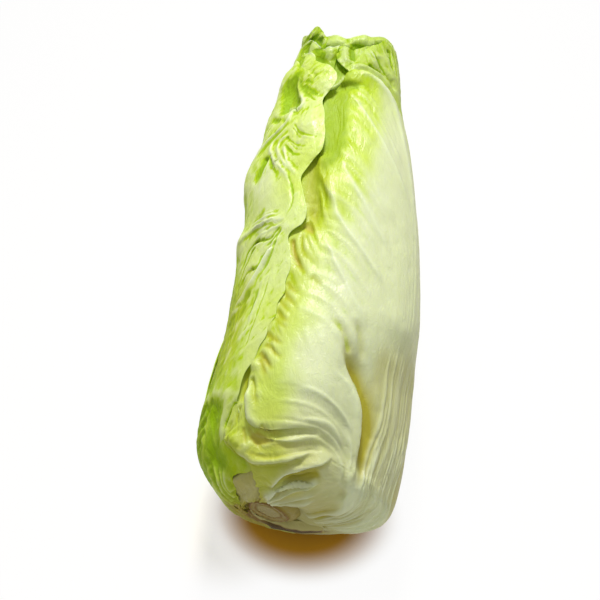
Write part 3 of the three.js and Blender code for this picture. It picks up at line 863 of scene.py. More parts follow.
def side_stripes(leaf):
    """Stripes of small folds low on the side, and faint ones over the rest of the leaf, with shade painted
    green into their dips and the rises painted lighter and pale, as light.
    """
    for path, height, width in (
            (((0.352, -60), (0.346, -70), (0.336, -84)), -1.8, 2.6),
            (((0.33, -66), (0.328, -78), (0.315, -88)), -1.8, 2.8), (((0.305, -72), (0.3, -84)), -1.6, 2.6),
            (((0.27, -70), (0.25, -82)), -1.4, 2.6), (((0.338, -38), (0.322, -42), (0.3, -49)), -1.5, 1.8),
            (((0.36, -44), (0.33, -47), (0.3, -51), (0.26, -52)), 1.6, 3.0)):
        leaf.stroke(path, width, 0.7 * height, ends=(0.15, 0.4))
        leaf.stroke(path, 0.8 * width, green=0.5 if height < 0 else -0.25, ends=(0.15, 0.4))
    sheaf(leaf, ((0.54, -27), (0.46, -31), (0.39, -36)), ((0.48, -58), (0.43, -58), (0.37, -56)), 9, 1.8,
          -0.45, 22, uneven=0.8, green=0.05, ends=(0.3, 0.4))
    leaf.stroke(((0.49, -36), (0.47, -38), (0.44, -42), (0.4, -46)), 3.0, 0.8, vein=0.2, ends=(0.3, 0.4))
    sheaf(leaf, ((0.69, -53), (0.65, -46), (0.61, -40)), ((0.682, -58), (0.64, -64), (0.6, -66)), 6, 1.4,
          -0.25, 25, vein=0.12, ends=(0.05, 0.5))
    sheaf(leaf, ((0.78, -15), (0.75, -13), (0.72, -12)), ((0.78, -26), (0.75, -28), (0.73, -28)), 5, 1.4,
          -0.35, 26, green=0.1)
    sheaf(leaf, ((0.826, -25), (0.84, -14), (0.845, -7)), ((0.85, -34), (0.868, -26), (0.872, -18)), 3, 1.4,
          -0.3, 27, green=0.15)
    for path, height in (
            (((0.26, -68), (0.2, -72), (0.13, -78)), 1.2), (((0.25, -64), (0.19, -68), (0.13, -71)), 1.0),
            (((0.24, -60), (0.2, -64), (0.16, -66)), 0.9), (((0.28, -74), (0.2, -79), (0.11, -85)), 1.0)):
        leaf.stroke(path, 1.6, 1.4 * height, left=2.2, right=0.9, ends=(0.3, 0.02))
        leaf.stroke(path, 1.4, vein=0.6, ends=(0.3, 0.02))
    for path, width in (
            (((0.356, -68), (0.348, -76), (0.335, -85)), 1.6),
            (((0.346, -65), (0.33, -72), (0.316, -83)), 1.8),
            (((0.318, -68), (0.308, -76), (0.29, -82)), 1.8), (((0.3, -72), (0.285, -78), (0.27, -82)), 1.4)):
        leaf.stroke(path, width, -1.4, ends=(0.1, 0.3), green=0.3)


def left_washes(leaf):
    """Fresh all over, green down the side and olive at the foot, with shade painted olive and green low on
    the side and into a fold.
    """
    leaf.wash(fresh=0.75)
    leaf.wash(where=leaf.near(0.635, -50, 0.04, 15), fresh=-0.22)
    for share, angle, green in (
            ((0.56, 0.62), (-44, -58), 0.2), ((0.6, 0.5), (-48, -68), 0.5), ((0.5, 0.38), (-34, -40), 0.3),
            ((0.78, 0.84), (-36, -26), 0.2), ((0.42, 0.3), (-40, -55), 0.3), ((), (-70, -80), 0.35)):
        leaf.wash(share, angle, green=green)
    leaf.wash((0.46, 0.5, 0.64, 0.6), (-58, -40), vein=0.3)
    leaf.wash((0.26, 0.12), olive=0.5)
    # painted shade: green deepening the fold at the side
    leaf.bump(0.684, -58, (8, 7), green=0.7)
    leaf.bump(0.86, -60, (12, 9), green=-0.3)
    # painted shade: olive and green low on the side, which turns away from the light
    leaf.wash((0.36, 0.42, 0.56, 0.48), (-40, -54), olive=0.35, green=0.35)
    leaf.wash((0.24, 0.12), (-76, -90), olive=0.6, dry=0.5, green=0.5)


def left_wrapper():
    """The green leaf on the left, its margin ruffled along the seam."""
    leaf = left_form()
    for step in (green_pocket, ruffle_ridges, side_ropes, side_stripes, left_washes):
        step(leaf)
    leaf.settle()
    calm = mix(1.0, 0.35, leaf.zone((0.42, 0.34), (-75, -62))) * (1 - 0.6 * leaf.near(0.635, -52, 0.035, 14))
    for amount, size, lengthways, seed, turn in ((0.35, 7, 1.4, 5, -30), (-0.3, 5, 2.0, 15, -60),
                                                 (0.16, 2.6, 2.2, 8, -55)):
        crinkle(leaf, amount * calm, size, lengthways, seed, turn)
    leaf.settle()
    soften(leaf, 0.868, -37, 0.014, 8, 40)
    return hollows(leaf, 1.15, 0.35)


def back_wrapper():
    """The leaf that the head lies on."""

    def depth(share, angle):
        over = smooth(tucked(share, angle), 0.27, 0.2) * smooth(angle, 190, 165)
        return LAYER * over + 1.5 * smooth(share, 0.12, 0.04)

    leaf = leaf_grid("back_wrapper_leaf", 190, 130, wavy(BACK_OVER_RIGHT, 2.2, 71),
                     wavy(np.add(BACK_OVER_LEFT, 360), 2.2, 72), 0.94, depth, foot=0.03)
    leaf.wash(fresh=0.7)
    leaf.wash(angle=(215, 245), green=0.5)
    sheaf(leaf, ((0.1, 120), (0.4, 112), (0.9, 122)), ((0.1, 160), (0.4, 150), (0.9, 155)), 9, 1.8, 0.5, 32,
          uneven=0.6, vein=0.25)
    sheaf(leaf, ((0.3, 200), (0.6, 205), (0.92, 208)), ((0.3, 240), (0.6, 250), (0.92, 244)), 7, 2.4, -0.8,
          34, uneven=0.6)
    leaf.wash((0.2, 0.05), olive=0.5)
    # brown at the foot: partly the dried leaf base and partly a painted shadow where the foot meets the floor
    leaf.wash((0.1, 0.05), dry=0.8)
    leaf.wash((0.6, 0.3), where=smooth(np.abs(leaf.angle - 176), 40, 20), ribs=0.7)
    leaf.wash((0.22, 0.13), (198, 222), green=0.5, olive=0.6, dry=0.45)
    sheaf(leaf, ((0.1, 225), (0.3, 245), (0.6, 250)), ((0.1, 180), (0.3, 190), (0.6, 200)), 12, 2.2, 0.9, 31)
    return finish(leaf, 0.45, 9, 1.8, 9, 0.25, 0.2)


BUTT_RADIUS = 22.0
CUT_RADIUS = 12.0  # where the stem's skin shows as a ring
CORE_RADIUS = 7.6
FACE_TURN = 0.3  # how far the cut end is turned to the side


def foot_points(rho, around, out):
    """Points on the foot of the head: rho from the stem's axis, around it, and out beyond the CAD model's
    foot."""
    turn = np.radians(around)
    turned_face = FACE_TURN * rho * np.sin(turn) * smooth(rho, BUTT_RADIUS, 0.5 * BUTT_RADIUS)
    return np.stack([STATIONS[0, 2] - CENTRE_X - 1.8 + rho * np.sin(turn), -CENTRE_Y - out - turned_face,
                     STEM_HEIGHT + 2.0 + rho * FLATNESS * np.cos(turn)], -1)


def butt():
    """The foot of the head: the cut end of the stem with its rings, and the bases of the petioles round
    it."""
    radius, around = np.meshgrid(np.linspace(0, 1, 57), np.linspace(-180, 180, 161), indexing="ij")
    leaf = Leaf("stem", 0.04 * radius, around, 0.0)
    turn = np.radians(around)
    rho = radius * BUTT_RADIUS * (1 + 0.04 * np.sin(3 * turn + 1) + 0.03 * np.sin(7 * turn))
    ring = rho / (1 + 0.05 * np.sin(2 * turn + 0.6) + 0.03 * np.sin(5 * turn))
    out = (0.4 + 1.2 * smooth(ring, CUT_RADIUS + 1.2, CUT_RADIUS - 0.6)
           + 0.5 * hump(ring, CUT_RADIUS - 0.8, 0.9))
    out = out - 0.6 * hump(ring, CORE_RADIUS, 0.8) - 3.4 * smooth(radius, 0.7, 1.0)
    leaf.move(foot_points(rho, around, out + 0.25 * noise(rho / 2.2, around / 9, 4) * smooth(rho, 1, 5)))
    # the browned rings are the cut's own; the olive and brown over the whole foot is partly its oxidised cut
    # and partly painted shade, as the foot faces away from the light
    for where, olive, dry, vein in (
            (hump(ring, CUT_RADIUS - 0.6, 0.8), 0, 0.55, 0), (hump(ring, CORE_RADIUS + 0.2, 0.6), 0, 0.25, 0),
            (hump(ring, CUT_RADIUS - 0.6, 1.0), 0.9, 0, 0), (hump(ring, CORE_RADIUS + 0.2, 0.8), 0.5, 0, 0),
            (smooth(rho, 12, 9) * smooth(rho, 6, 8), 0, 0.15, 0), (1.0, 0.65, 0.56, 0),
            (smooth(rho, 8, 12), 0.25, 0, 0), (smooth(rho, CORE_RADIUS + 0.5, CORE_RADIUS - 1.5), 0, 0, 0.2)):
        leaf.wash(where=where, olive=olive, dry=dry, vein=vein)
    patches = smooth(noise(rho / 4, around / 18, 6), -0.3, 0.4)
    leaf.wash(where=smooth(rho, 12.5, 15) * patches, green=0.2 + 0.9 * smooth(around, -20, -60))
    return leaf


def stub_left():
    """The base of a leaf that was trimmed away, left of the stem: a smooth petiole under the wrapper's torn
    end."""

    def depth(share, angle):
        return 1.6 - 0.7 * smooth(share, 0.12, 0.03) + 4.5 * smooth(share, 0.186, 0.218)

    leaf = leaf_grid("trimmed_leaf_stub_left", 90, 120, (-104, -98, -96, -94), (-26, -28, -30, -30), 0.225,
                     depth, foot=((-110, 0.012), (-98, 0.0), (-88, 0.01), (-80, 0.002), (-72, 0.014),
                                  (-64, 0.004), (-56, 0.016), (-46, 0.01), (-38, 0.024), (-32, 0.012),
                                  (-24, 0.02)), tip_drop=0.0)
    leaf.stroke(((0.03, -60), (0.1, -52), (0.2, -46)), 9, 1.4)
    sheaf(leaf, ((0.02, -90), (0.1, -80), (0.2, -72)), ((0.02, -40), (0.1, -36), (0.2, -34)), 14, 1.4, 0.35,
          61, uneven=0.8, vein=0.12)
    leaf.stroke(((0.0, -96), (0.018, -80), (0.014, -66), (0.03, -56), (0.035, -44), (0.06, -38)), 2.2, 0.8,
                green=0.7, ends=(0.05, 0.2))
    leaf.wash(olive=0.75, dry=0.28, fresh=0.3, ribs=0.6)
    leaf.wash((0.13, 0.02), olive=0.3)
    return finish(leaf, 0.2 + 0.5 * leaf.zone((0.06, 0.02)), 4, 2.0, 62, 0.5, 0.2)


# the edges of the plate under the stem, as places (around, rho) on the foot
PLATE_INNER = ((232, 12.8), (205, 12.8), (175, 12.8), (152, 14), (134, 18), (121, 23), (113, 28), (109, 34))
PLATE_OUTER = ((238, 15), (212, 16.5), (187, 18.5), (166, 22), (151, 26.5), (139, 31), (131, 35), (127, 40))


def stub_below():
    """What is left of a trimmed leaf under the stem: a thin plate with a torn end at its right, and a painted
    shadow along its outer edge.
    """
    far, across = np.linspace(0, 1, 41)[:, None], np.linspace(0, 1, 111)[None, :]
    inner, outer = curve(PLATE_INNER, across[0]), curve(PLATE_OUTER, across[0])
    torn = smooth(across, 0.9, 1.0) * noise(far * 7, 3.0, 7)
    around = mix(inner[:, 0], outer[:, 0], far) + 1.6 * torn
    rho = mix(inner[:, 1], outer[:, 1] + 0.8 * noise(across * 16, 2.0, 8), far)
    leaf = Leaf("trimmed_leaf_stub_below", 0.03 * far, around, 0.0)
    out = 1.3 + 3.0 * smooth(rho, 13, 23) - 1.6 * smooth(rho, 30, 40)
    out = out - 3.6 * smooth(far, 0.45, 0.0) * smooth(across, 0.3, 0.5) * smooth(across, 1.0, 0.93)
    leaf.move(foot_points(rho, around, out + 0.35 * noise(far * 3, across * 16, 9)))
    leaf.wash(olive=0.6, dry=0.35, ribs=1.0)
    leaf.wash(where=smooth(far, 0.7, 1.0), olive=0.2)
    # painted shadow: a dark brown band along the plate's outer edge, where it hangs over the floor
    edge = smooth(far - 0.1 * across, 0.33, 0.42) * smooth(across, 0.96, 0.9)
    leaf.wash(where=edge * mix(0.5, 1.0, smooth(across, 0.15, 0.4)), dry=1.5)
    return leaf


SHAPED_LEAVES = 4  # inner leaves with a function of their own: the rest repeat
INNER_LEAVES = 6
HEART_LEAVES = 10
INNER_TIP = 0.985
INNER_TIP_STEP = 0.01
FIRST_INNER_DEPTH = 2 * LAYER + 0.4
SPIRAL_TURN = 137.5
FIRST_INNER_ANGLE = 40.0


def inner_leaf(number):
    """The inner and heart leaves, numbered from the outside in."""
    middle = FIRST_INNER_ANGLE - SPIRAL_TURN * number
    shares = np.linspace(0, 1, 11)
    half = mix(48, 118, smooth(shares, 0, 0.3)) - 40 * smooth(shares, 0.8, 1)
    heart = number - INNER_LEAVES
    name, cells = (f"inner_leaf_{number + 1}", 60) if heart < 0 else (f"heart_leaf_{heart + 1}", 40)
    start_depth = FIRST_INNER_DEPTH + LAYER * number
    sunk = 13.0 + 3.0 * number

    def depth(share, angle):
        return mix(sunk, start_depth, smooth(share, 0.8, 0.88)) * (1 - 0.3 * smooth(share, 0.86, 1))

    leaf = leaf_grid(name, cells, cells, middle - half, middle + half, INNER_TIP - INNER_TIP_STEP * number,
                     depth, tip_drop=0.07, row_stops=((0, 0.4), (0.7, 0.5), (0.85, 1.4), (1, 1.4)))
    near_tip = leaf.zone((0.78, 0.86))
    leaf.wash(where=near_tip, fresh=0.5, green=0.25)
    leaf.stroke(((0.5, middle), (0.75, middle + 2), (0.95, middle)), 3, 0.9, vein=0.6, ends=(0.3, 0.4))
    crinkle(leaf, 0.55 * near_tip, 7, 1.4, 80 + number)
    leaf.settle()
    return hollows(leaf, 0.6, 0.25)


def tip_leaf(name, rows, columns, start, end, tip, deep, sink):
    """A leaf that shows only above the wrappers: its low part lies deep, and its top sinks by sink(share,
    angle)."""

    def depth(share, angle):
        covered = np.where(angle > -8, level(RIGHT_TIP, angle) - share, 0.78 - share)
        return deep * smooth(covered, -0.004, 0.03) + waist(share, angle)

    leaf = leaf_grid(name, rows, columns, start, end, tip, depth, foot=0.05,
                     row_stops=((0, 0.08), (0.6, 0.1), (0.76, 1), (1, 1.2)))
    down = (sink(leaf.share, leaf.angle) * leaf.zone((0.72, 0.8)))[..., None]
    above = smooth(np.abs(leaf.angle), 96, 72)[..., None]
    leaf.move(leaf.points - down * mix(leaf.normals, LIFT, above) - 1.2 * (1 - above) * leaf.normals)
    return leaf


def top_right_leaf():
    """The leaf that comes out above the right wrapper and turns over the top right of the head."""
    tip = ((2, 0.862), (6, 0.875), (10, 0.89), (13, 0.908), (18, 0.926), (23, 0.94), (28, 0.947), (33, 0.962),
           (39, 0.98), (47, 0.988), (56, 0.978), (66, 0.955), (95, 0.94), (125, 0.93))
    start = ((0.0, 14), (0.5, 14), (0.8, 14), (0.845, 8), (0.86, 3), (0.87, 2), (0.9, 2), (1.0, 2))
    leaf = tip_leaf("inner_leaf_1", 250, 170, start, (120,) * 11, tip, 10.0, lambda share, angle: 2.2)
    leaf.bump(0.92, 34, (12, 14), 2.0)
    leaf.settle()
    for path, height, low, high in (
            (((0.884, 21), (0.88, 28), (0.876, 35), (0.868, 44), (0.85, 54)), -2.6, 3.4, 1.3),
            (((0.912, 29), (0.897, 33), (0.886, 37), (0.874, 43), (0.855, 52)), -1.8, 3.0, 1.4),
            (((0.867, 6), (0.872, 14), (0.872, 24), (0.862, 38), (0.842, 50)), 1.2, 1.6, 2.6),
            (((0.955, 44), (0.93, 46), (0.9, 50)), -1.2, 2.6, 1.6)):
        leaf.stroke(path, 2, height, left=low, right=high, ends=(0.12, 0.25))
    # painted shade: green in the two creases under the turned-over rim
    leaf.stroke(((0.884, 21), (0.88, 28), (0.876, 35), (0.868, 44)), 2.0, green=0.9, ends=(0.1, 0.3))
    leaf.stroke(((0.908, 30), (0.897, 33), (0.886, 37), (0.874, 43)), 1.8, green=0.8, ends=(0.1, 0.3))
    sheaf(leaf, ((0.925, 20), (0.9, 28), (0.88, 40)), ((0.975, 50), (0.93, 54), (0.88, 58)), 9, 1.6, -0.7, 51,
          green=0.12)
    sheaf(leaf, ((0.9, 13), (0.885, 20), (0.875, 30)), ((0.93, 22), (0.905, 27), (0.89, 33)), 5, 1.2, 0.5, 52,
          vein=0.3)
    leaf.wash(fresh=0.9)
    leaf.wash((0.9, 0.96), green=0.35)
    return finish(leaf, 0.4 * leaf.zone((0.78, 0.84)), 6, 1.5, 53, 0.95, 0.3, turn=20)


def top_left_leaf():
    """The leaf at the upper left, hollow behind a pale rim, with shade painted deep green into the hollow."""
    tip = ((-130, 0.94), (-100, 0.98), (-84, 1.022), (-74, 1.008), (-64, 0.994), (-54, 0.984), (-45, 0.972),
           (-38, 0.956), (-32, 0.943), (-27, 0.932), (-22, 0.926), (-15, 0.924), (-8, 0.93))

    def sink(share, angle):
        return mix(2.5, 8.5, smooth(level(tip, angle) - share, 0.002, 0.04))

    leaf = tip_leaf("inner_leaf_2", 210, 140, (-130,) * 11, (-8,) * 11, tip, 12.0, sink)
    for path, height in (
            (((0.97, -50), (0.93, -46), (0.9, -42)), -1.4), (((0.95, -38), (0.92, -34), (0.89, -30)), 1.5),
            (((0.93, -27), (0.91, -24), (0.88, -20)), -1.4), (((0.925, -18), (0.9, -15), (0.87, -12)), 1.4),
            (((0.97, -62), (0.94, -60), (0.9, -58)), 1.6), (((0.96, -78), (0.93, -76), (0.89, -74)), -1.6)):
        leaf.stroke(path, 2.6, height, ends=(0.02, 0.4))
    below = level(tip, leaf.angle) - leaf.share
    leaf.wash(fresh=1.0)
    # painted shade: deep green below the rim, in the hollow
    leaf.wash(angle=(-72, -50), where=smooth(below, 0.003, 0.012), green=0.8)
    leaf.wash(where=smooth(below, 0.004, 0.001), vein=0.8)
    return finish(leaf, 0.3 * leaf.zone((0.8, 0.86)), 6, 1.3, 54, 1.1, 0.35)


def top_far_leaf():
    """The leaf behind the others, whose rim closes the top of the head and stands up in a ruffle at the
    left."""
    tip = ((-120, 0.97), (-96, 1.01), (-84, 1.03), (-72, 1.026), (-64, 1.018), (-58, 1.012), (-52, 1.016),
           (-46, 1.02), (-40, 1.014), (-34, 0.996), (-29, 0.974), (-22, 0.966), (-12, 0.957), (-4, 0.953),
           (4, 0.958), (12, 0.965), (20, 0.967), (30, 0.98), (39, 0.99), (50, 0.985), (70, 0.96))

    def sink(share, angle):
        return mix(2.0, 10.5, smooth(level(tip, angle) - share, 0.01, 0.045))

    leaf = tip_leaf("inner_leaf_4", 200, 190, (-120,) * 11, (70,) * 11, tip, 17.0, sink)
    for path, height in (
            (((1.03, -82), (1.0, -76), (0.97, -70)), 1.4), (((1.01, -62), (0.99, -59), (0.96, -56)), -1.4),
            (((0.97, -28), (0.95, -25), (0.93, -22)), -1.2), (((0.96, -14), (0.94, -12), (0.92, -10)), 1.0),
            (((0.955, -2), (0.94, 0), (0.92, 2)), -1.0), (((0.967, 16), (0.95, 14), (0.93, 12)), 1.0)):
        leaf.stroke(path, 3.0, height, ends=(0.02, 0.4))
    below = level(tip, leaf.angle) - leaf.share
    leaf.wash(fresh=1.0)
    # painted shade: green in the hollow below the rim
    leaf.wash(where=smooth(below, 0.018, 0.034), green=0.9)
    leaf.wash(angle=(-25, -45), green=0.35)
    leaf.wash(where=smooth(below, 0.004, 0.001), vein=0.5)
    return finish(leaf, 0.35 * leaf.zone((0.86, 0.92)), 5, 1.0, 55, 1.1, 0.35)


def top_middle_leaf():
    """The small bright lobe over the hollow between the two wrappers."""
    start = ((0.02, 10), (0.5, 10), (0.8, 10), (0.85, 7), (0.864, 2), (0.876, -3), (0.888, -7), (0.905, -9),
             (0.93, -9), (1.0, -9))
    tip = ((-12, 0.928), (-8, 0.93), (-2, 0.928), (5, 0.922), (11, 0.928), (18, 0.938), (24, 0.95),
           (32, 0.962), (60, 0.96), (90, 0.95), (140, 0.94))
    leaf = tip_leaf("inner_leaf_3", 150, 110, start, (140,) * 11, tip, 14.0, lambda share, angle: 5.2)
    leaf.stroke(((0.925, -2), (0.9, -1), (0.875, 4)), 2.4, 1.4)
    # painted shade: green in the crease
    leaf.stroke(((0.925, 5), (0.9, 6), (0.875, 9)), 1.8, -1.2, green=0.5)
    leaf.wash(fresh=1.0, green=0.35)
    return finish(leaf, 0.5 * leaf.zone((0.8, 0.86)), 5, 1.0, 56, 1.1, 0.35)


# ---------------------------------------------------------------- materials

def srgb(red, green, blue):
    """An sRGB colour, 0 to 255, as a linear one."""
    c = np.array([red, green, blue]) / 255
    linear = np.where(c <= 0.04045, c / 12.92, ((c + 0.055) / 1.055) ** 2.4)
    return (*linear.tolist(), 1.0)


PALE = srgb(234, 240, 192)
FRESH = srgb(216, 235, 104)
GREEN = srgb(190, 219, 10)
DEEP = srgb(158, 196, 0)
OLIVE = srgb(196, 188, 62)
# the pale of veins and ribs, and of painted highlights
PALE_VEIN_AND_HIGHLIGHT = srgb(240, 247, 205)
# the dark brown of painted shadows
SHADOW_BROWN = srgb(84, 63, 8)
DRY = srgb(150, 120, 62)
PAPER = (0.97, 0.9, 0.8, 1)
PAPER_GRAIN = (0.9, 0.85, 0.76, 1)
PAINTED_WARM_SHADOW = (0.49, 0.235, 0.012, 1)
# in metres: from the middle of the painted warm shadow under the foot, and of the shadow beside it, to the
# origin
UNDER_HEAD = (0.001, 0.158, 0.0)
BESIDE_HEAD = (0.045, 0.17, 0.0)
NET_WARP = (0.011, 0.011, 0.0)  # how far noise bends the net of small veins


class Nodes:
    """A short way to write a material's nodes."""

    def __init__(self, name):
        self.material = bpy.data.materials.new(name)
        self.material.use_nodes = True
        self.tree = self.material.node_tree
        self.tree.nodes.clear()

    def add(self, kind, **inputs):
        """A new node: names that start with _ are its properties, the others its inputs."""
        node = self.tree.nodes.new(kind)
        for key, value in inputs.items():
            if key.startswith("_"):
                setattr(node, key[1:], value)
            else:
                self.set(node, key.replace("_", " "), value)
        return node

    def set(self, node, key, value):
        socket = node.inputs[int(key) if key.isdigit() else key]
        if isinstance(value, bpy.types.NodeSocket):
            self.tree.links.new(value, socket)
        else:
            socket.default_value = value

    def fill(self, node, *values):
        """Sets a node's first inputs, in their order."""
        for k, value in enumerate(values):
            self.set(node, str(k), value)
        return node

    def noise(self, place, scale, detail, output="Fac", **inputs):
        return self.add("ShaderNodeTexNoise", Vector=place, Scale=scale, Detail=detail,
                        **inputs).outputs[output]

    def net(self, place, scale):
        """The distance to the nearest line of a random net."""
        node = self.add("ShaderNodeTexVoronoi", _feature="DISTANCE_TO_EDGE", Vector=place, Scale=scale)
        return node.outputs["Distance"]

    def mapped(self, place, scale=(1.0, 1.0, 1.0), shift=(0.0, 0.0, 0.0)):
        return self.add("ShaderNodeMapping", Vector=place, Location=shift, Scale=scale).outputs[0]

    def length(self, place):
        return self.fill(self.add("ShaderNodeVectorMath", _operation="LENGTH"), place).outputs["Value"]

    def end(self, factor, first, second):
        """Ends the material in a mix of two shaders, and returns it."""
        both = self.fill(self.add("ShaderNodeMixShader"), factor, first.outputs[0], second.outputs[0])
        self.add("ShaderNodeOutputMaterial", Surface=both.outputs[0])
        return self.material

    def attribute(self, name):
        node = self.add("ShaderNodeAttribute", _attribute_name=name)
        return node.outputs["Vector" if name == "unrolled" else "Fac"]

    def math(self, operation, a, b=None, c=None, clamp=False):
        node = self.add("ShaderNodeMath", _operation=operation, _use_clamp=clamp)
        return self.fill(node, *(value for value in (a, b, c) if value is not None)).outputs[0]

    def blend(self, factor, a, b, kind="MIX"):
        node = self.add("ShaderNodeMix", _data_type="RGBA", _blend_type=kind)
        self.set(node, "0", factor)
        self.set(node, "6", a)
        self.set(node, "7", b)
        return node.outputs[2]

    def span(self, value, low, high, to_low=0.0, to_high=1.0):
        node = self.add("ShaderNodeMapRange", _interpolation_type="SMOOTHSTEP")
        for key, number in (("Value", value), ("From Min", low), ("From Max", high), ("To Min", to_low),
                            ("To Max", to_high)):
            self.set(node, key, number)
        return node.outputs[0]


def leaf_material(name, fresher=0.0, translucent=0.3):
    """Leaf skin: a pale body that turns green at its margin and where shade is painted into its folds, with
    raised pale veins and highlights painted onto its crests.
    """
    n = Nodes(name)
    place = n.attribute("unrolled")
    fresh, green, olive, vein, dry, ribs = (n.attribute(key) for key in Leaf.PAINT)

    # patterns
    stretched = n.mapped(place, (1.0, 0.5, 1.0))
    cloud = n.noise(place, 30.0, 3.0)
    mottle = n.noise(stretched, 170.0, 4.0, Roughness=0.6)
    warp = n.noise(place, 120.0, 3.0, "Color")
    bent = n.fill(n.add("ShaderNodeVectorMath", _operation="MULTIPLY_ADD"), warp, NET_WARP,
                  stretched).outputs[0]
    veinlet = n.span(n.net(bent, 150.0), 0.0, 0.16, 1.0, 0.0)
    finest = n.span(n.net(bent, 480.0), 0.0, 0.25, 1.0, 0.0)

    # colour
    drift = n.math("MULTIPLY_ADD", n.math("SUBTRACT", cloud, 0.5), 1.1, n.math("ADD", fresh, fresher))
    base = n.blend(n.span(drift, 0.0, 1.0), PALE, FRESH)
    uneven = n.math("MULTIPLY", n.math("SUBTRACT", mottle, 0.5), n.span(green, 0.0, 0.3, 0.0, 0.9))
    # green paint: the leaf's own green, and shade painted into its creases
    green_here = n.math("ADD", green, uneven)
    base = n.blend(n.span(green_here, 0.0, 0.55), base, GREEN)
    base = n.blend(n.span(green_here, 0.5, 1.1), base, DEEP)
    base = n.blend(n.math("MULTIPLY", olive, 0.9, clamp=True), base, OLIVE)
    base = n.blend(n.math("MULTIPLY", veinlet, 0.1), base, n.blend(0.5, base, FRESH))
    # pale paint: the veins and ribs, and the highlights painted onto crests and lips
    pale = n.math("MULTIPLY", vein, 0.85, clamp=True)
    base = n.blend(pale, base, n.blend(n.span(green_here, 0.0, 0.8), PALE_VEIN_AND_HIGHLIGHT, FRESH))
    base = n.blend(n.math("MULTIPLY", dry, 1.0, clamp=True), base, DRY)
    # brown paint past 1 turns dark brown: a painted shadow
    base = n.blend(n.span(dry, 1.0, 1.8), base, SHADOW_BROWN)
    rib = n.noise(n.mapped(place, (1.0, 0.05, 1.0)), 650.0, 3.0, Roughness=0.6)
    base = n.blend(n.math("MULTIPLY", n.span(rib, 0.54, 0.72), n.math("MULTIPLY", ribs, 0.2)), base, OLIVE)

    # relief
    fold = n.noise(stretched, 95.0, 3.0, Distortion=0.8)
    fold = n.math("ABSOLUTE", n.math("MULTIPLY_ADD", fold, 2.0, -1.0))
    leafy = n.span(n.math("MULTIPLY_ADD", green, 0.5, fresh), 0.2, 1.4)
    leafy = n.math("MULTIPLY", leafy, n.span(fold, 0.0, 0.35, 1.0, 0.0))
    swell = n.math("MULTIPLY_ADD", vein, 0.8, n.math("MULTIPLY", veinlet, 0.08))
    for layer, amount in ((finest, 0.12), (mottle, 0.7), (leafy, 0.8)):
        swell = n.math("MULTIPLY_ADD", layer, amount, swell)
    swell = n.math("MULTIPLY_ADD", n.math("MULTIPLY", rib, ribs), 1.0, swell)
    bump = n.add("ShaderNodeBump", Strength=0.55, Distance=0.0008, Height=swell).outputs[0]

    rough = n.span(mottle, 0.3, 0.7, 0.28, 0.45)
    rough = n.math("MULTIPLY_ADD", n.span(green, 0.3, 1.0), 0.2, rough)
    skin = n.add("ShaderNodeBsdfPrincipled", Base_Color=base, Roughness=rough, Normal=bump,
                 Subsurface_Weight=0.15, Subsurface_Radius=(0.9, 1.0, 0.25), Subsurface_Scale=0.003,
                 Specular_IOR_Level=0.2)
    glow = n.add("ShaderNodeBsdfTranslucent", Color=n.blend(0.6, base, GREEN, "MULTIPLY"), Normal=bump)
    return n.end(translucent, skin, glow)


def floor_material():
    """Warm white paper that looks white to the camera, and keeps the shadow near the head, with a warm
    orange-brown shadow painted into the paper under the foot."""
    n = Nodes("floor_paper")
    place = n.add("ShaderNodeTexCoord").outputs["Object"]
    grain = n.noise(place, 700.0, 2.0)
    tone = n.blend(n.span(grain, 0.3, 0.7, 0.0, 0.03), PAPER, PAPER_GRAIN)
    under = n.length(n.mapped(place, (0.76, 1.0, 1.0), UNDER_HEAD))
    # under the foot the paper is painted the orange-brown of a warm shadow
    paper = n.add("ShaderNodeBsdfDiffuse", Color=n.blend(n.span(under, 0.034, 0.048), PAINTED_WARM_SHADOW, tone))
    white = n.add("ShaderNodeEmission", Color=(1, 1, 1, 1), Strength=1.0)
    path = n.add("ShaderNodeLightPath").outputs
    seen = n.math("MAXIMUM", path["Is Camera Ray"], path["Is Glossy Ray"])
    seen = n.math("MAXIMUM", seen, path["Is Transmission Ray"])
    share = n.span(under, 0.024, 0.049, 0.003, 0.95)
    beside = n.length(n.mapped(place, shift=BESIDE_HEAD))
    shadow = n.math("MULTIPLY", n.span(beside, 0.014, 0.047, 0.44, 0.0), n.span(under, 0.038, 0.05))
    share = n.math("SUBTRACT", share, shadow, clamp=True)
    return n.end(n.math("MULTIPLY", seen, share), paper, white)


# ---------------------------------------------------------------- the studio

TARGET = Vector((-13.0, -31.2, 40.0)) * MM
VIEW = dict(azimuth=5, elevation=58, distance=0.7459)
LENS = 70.0
SENSOR = 36.0
NEAREST_SEEN = 0.01
# A SPOT is a soft cone, spread degrees wide, that fades from its middle; an AREA is a round softbox.
KEY = dict(kind="SPOT", azimuth=184, elevation=38, distance=2.4, size=0.26, power=370, spread=20,
           at=Vector((0.0, 0.01, 0.04)))
OVERHEAD = dict(kind="AREA", azimuth=10, elevation=68, distance=1.2, size=0.5, power=1.6, at=TARGET)
WORLD_LIGHT = 0.46
FLOOR_HALF = 3.0


def add_object(name, data):
    thing = bpy.data.objects.new(name, data)
    bpy.context.scene.collection.objects.link(thing)
    return thing


def aim(thing, at, azimuth, elevation, distance):
    """Points a camera or a lamp at a place: azimuth 0 is from the stem end, elevation is up from the
    floor."""
    turn, up = math.radians(azimuth), math.radians(elevation)
    away = Vector((math.sin(turn) * math.cos(up), -math.cos(turn) * math.cos(up), math.sin(up)))
    thing.location = at + away * distance
    thing.rotation_euler = (at - thing.location).to_track_quat("-Z", "Y").to_euler()


def camera():
    data = bpy.data.cameras.new("camera")
    data.lens, data.sensor_width, data.clip_start = LENS, SENSOR, NEAREST_SEEN
    bpy.context.scene.camera = add_object("camera", data)
    aim(bpy.context.scene.camera, TARGET, **VIEW)


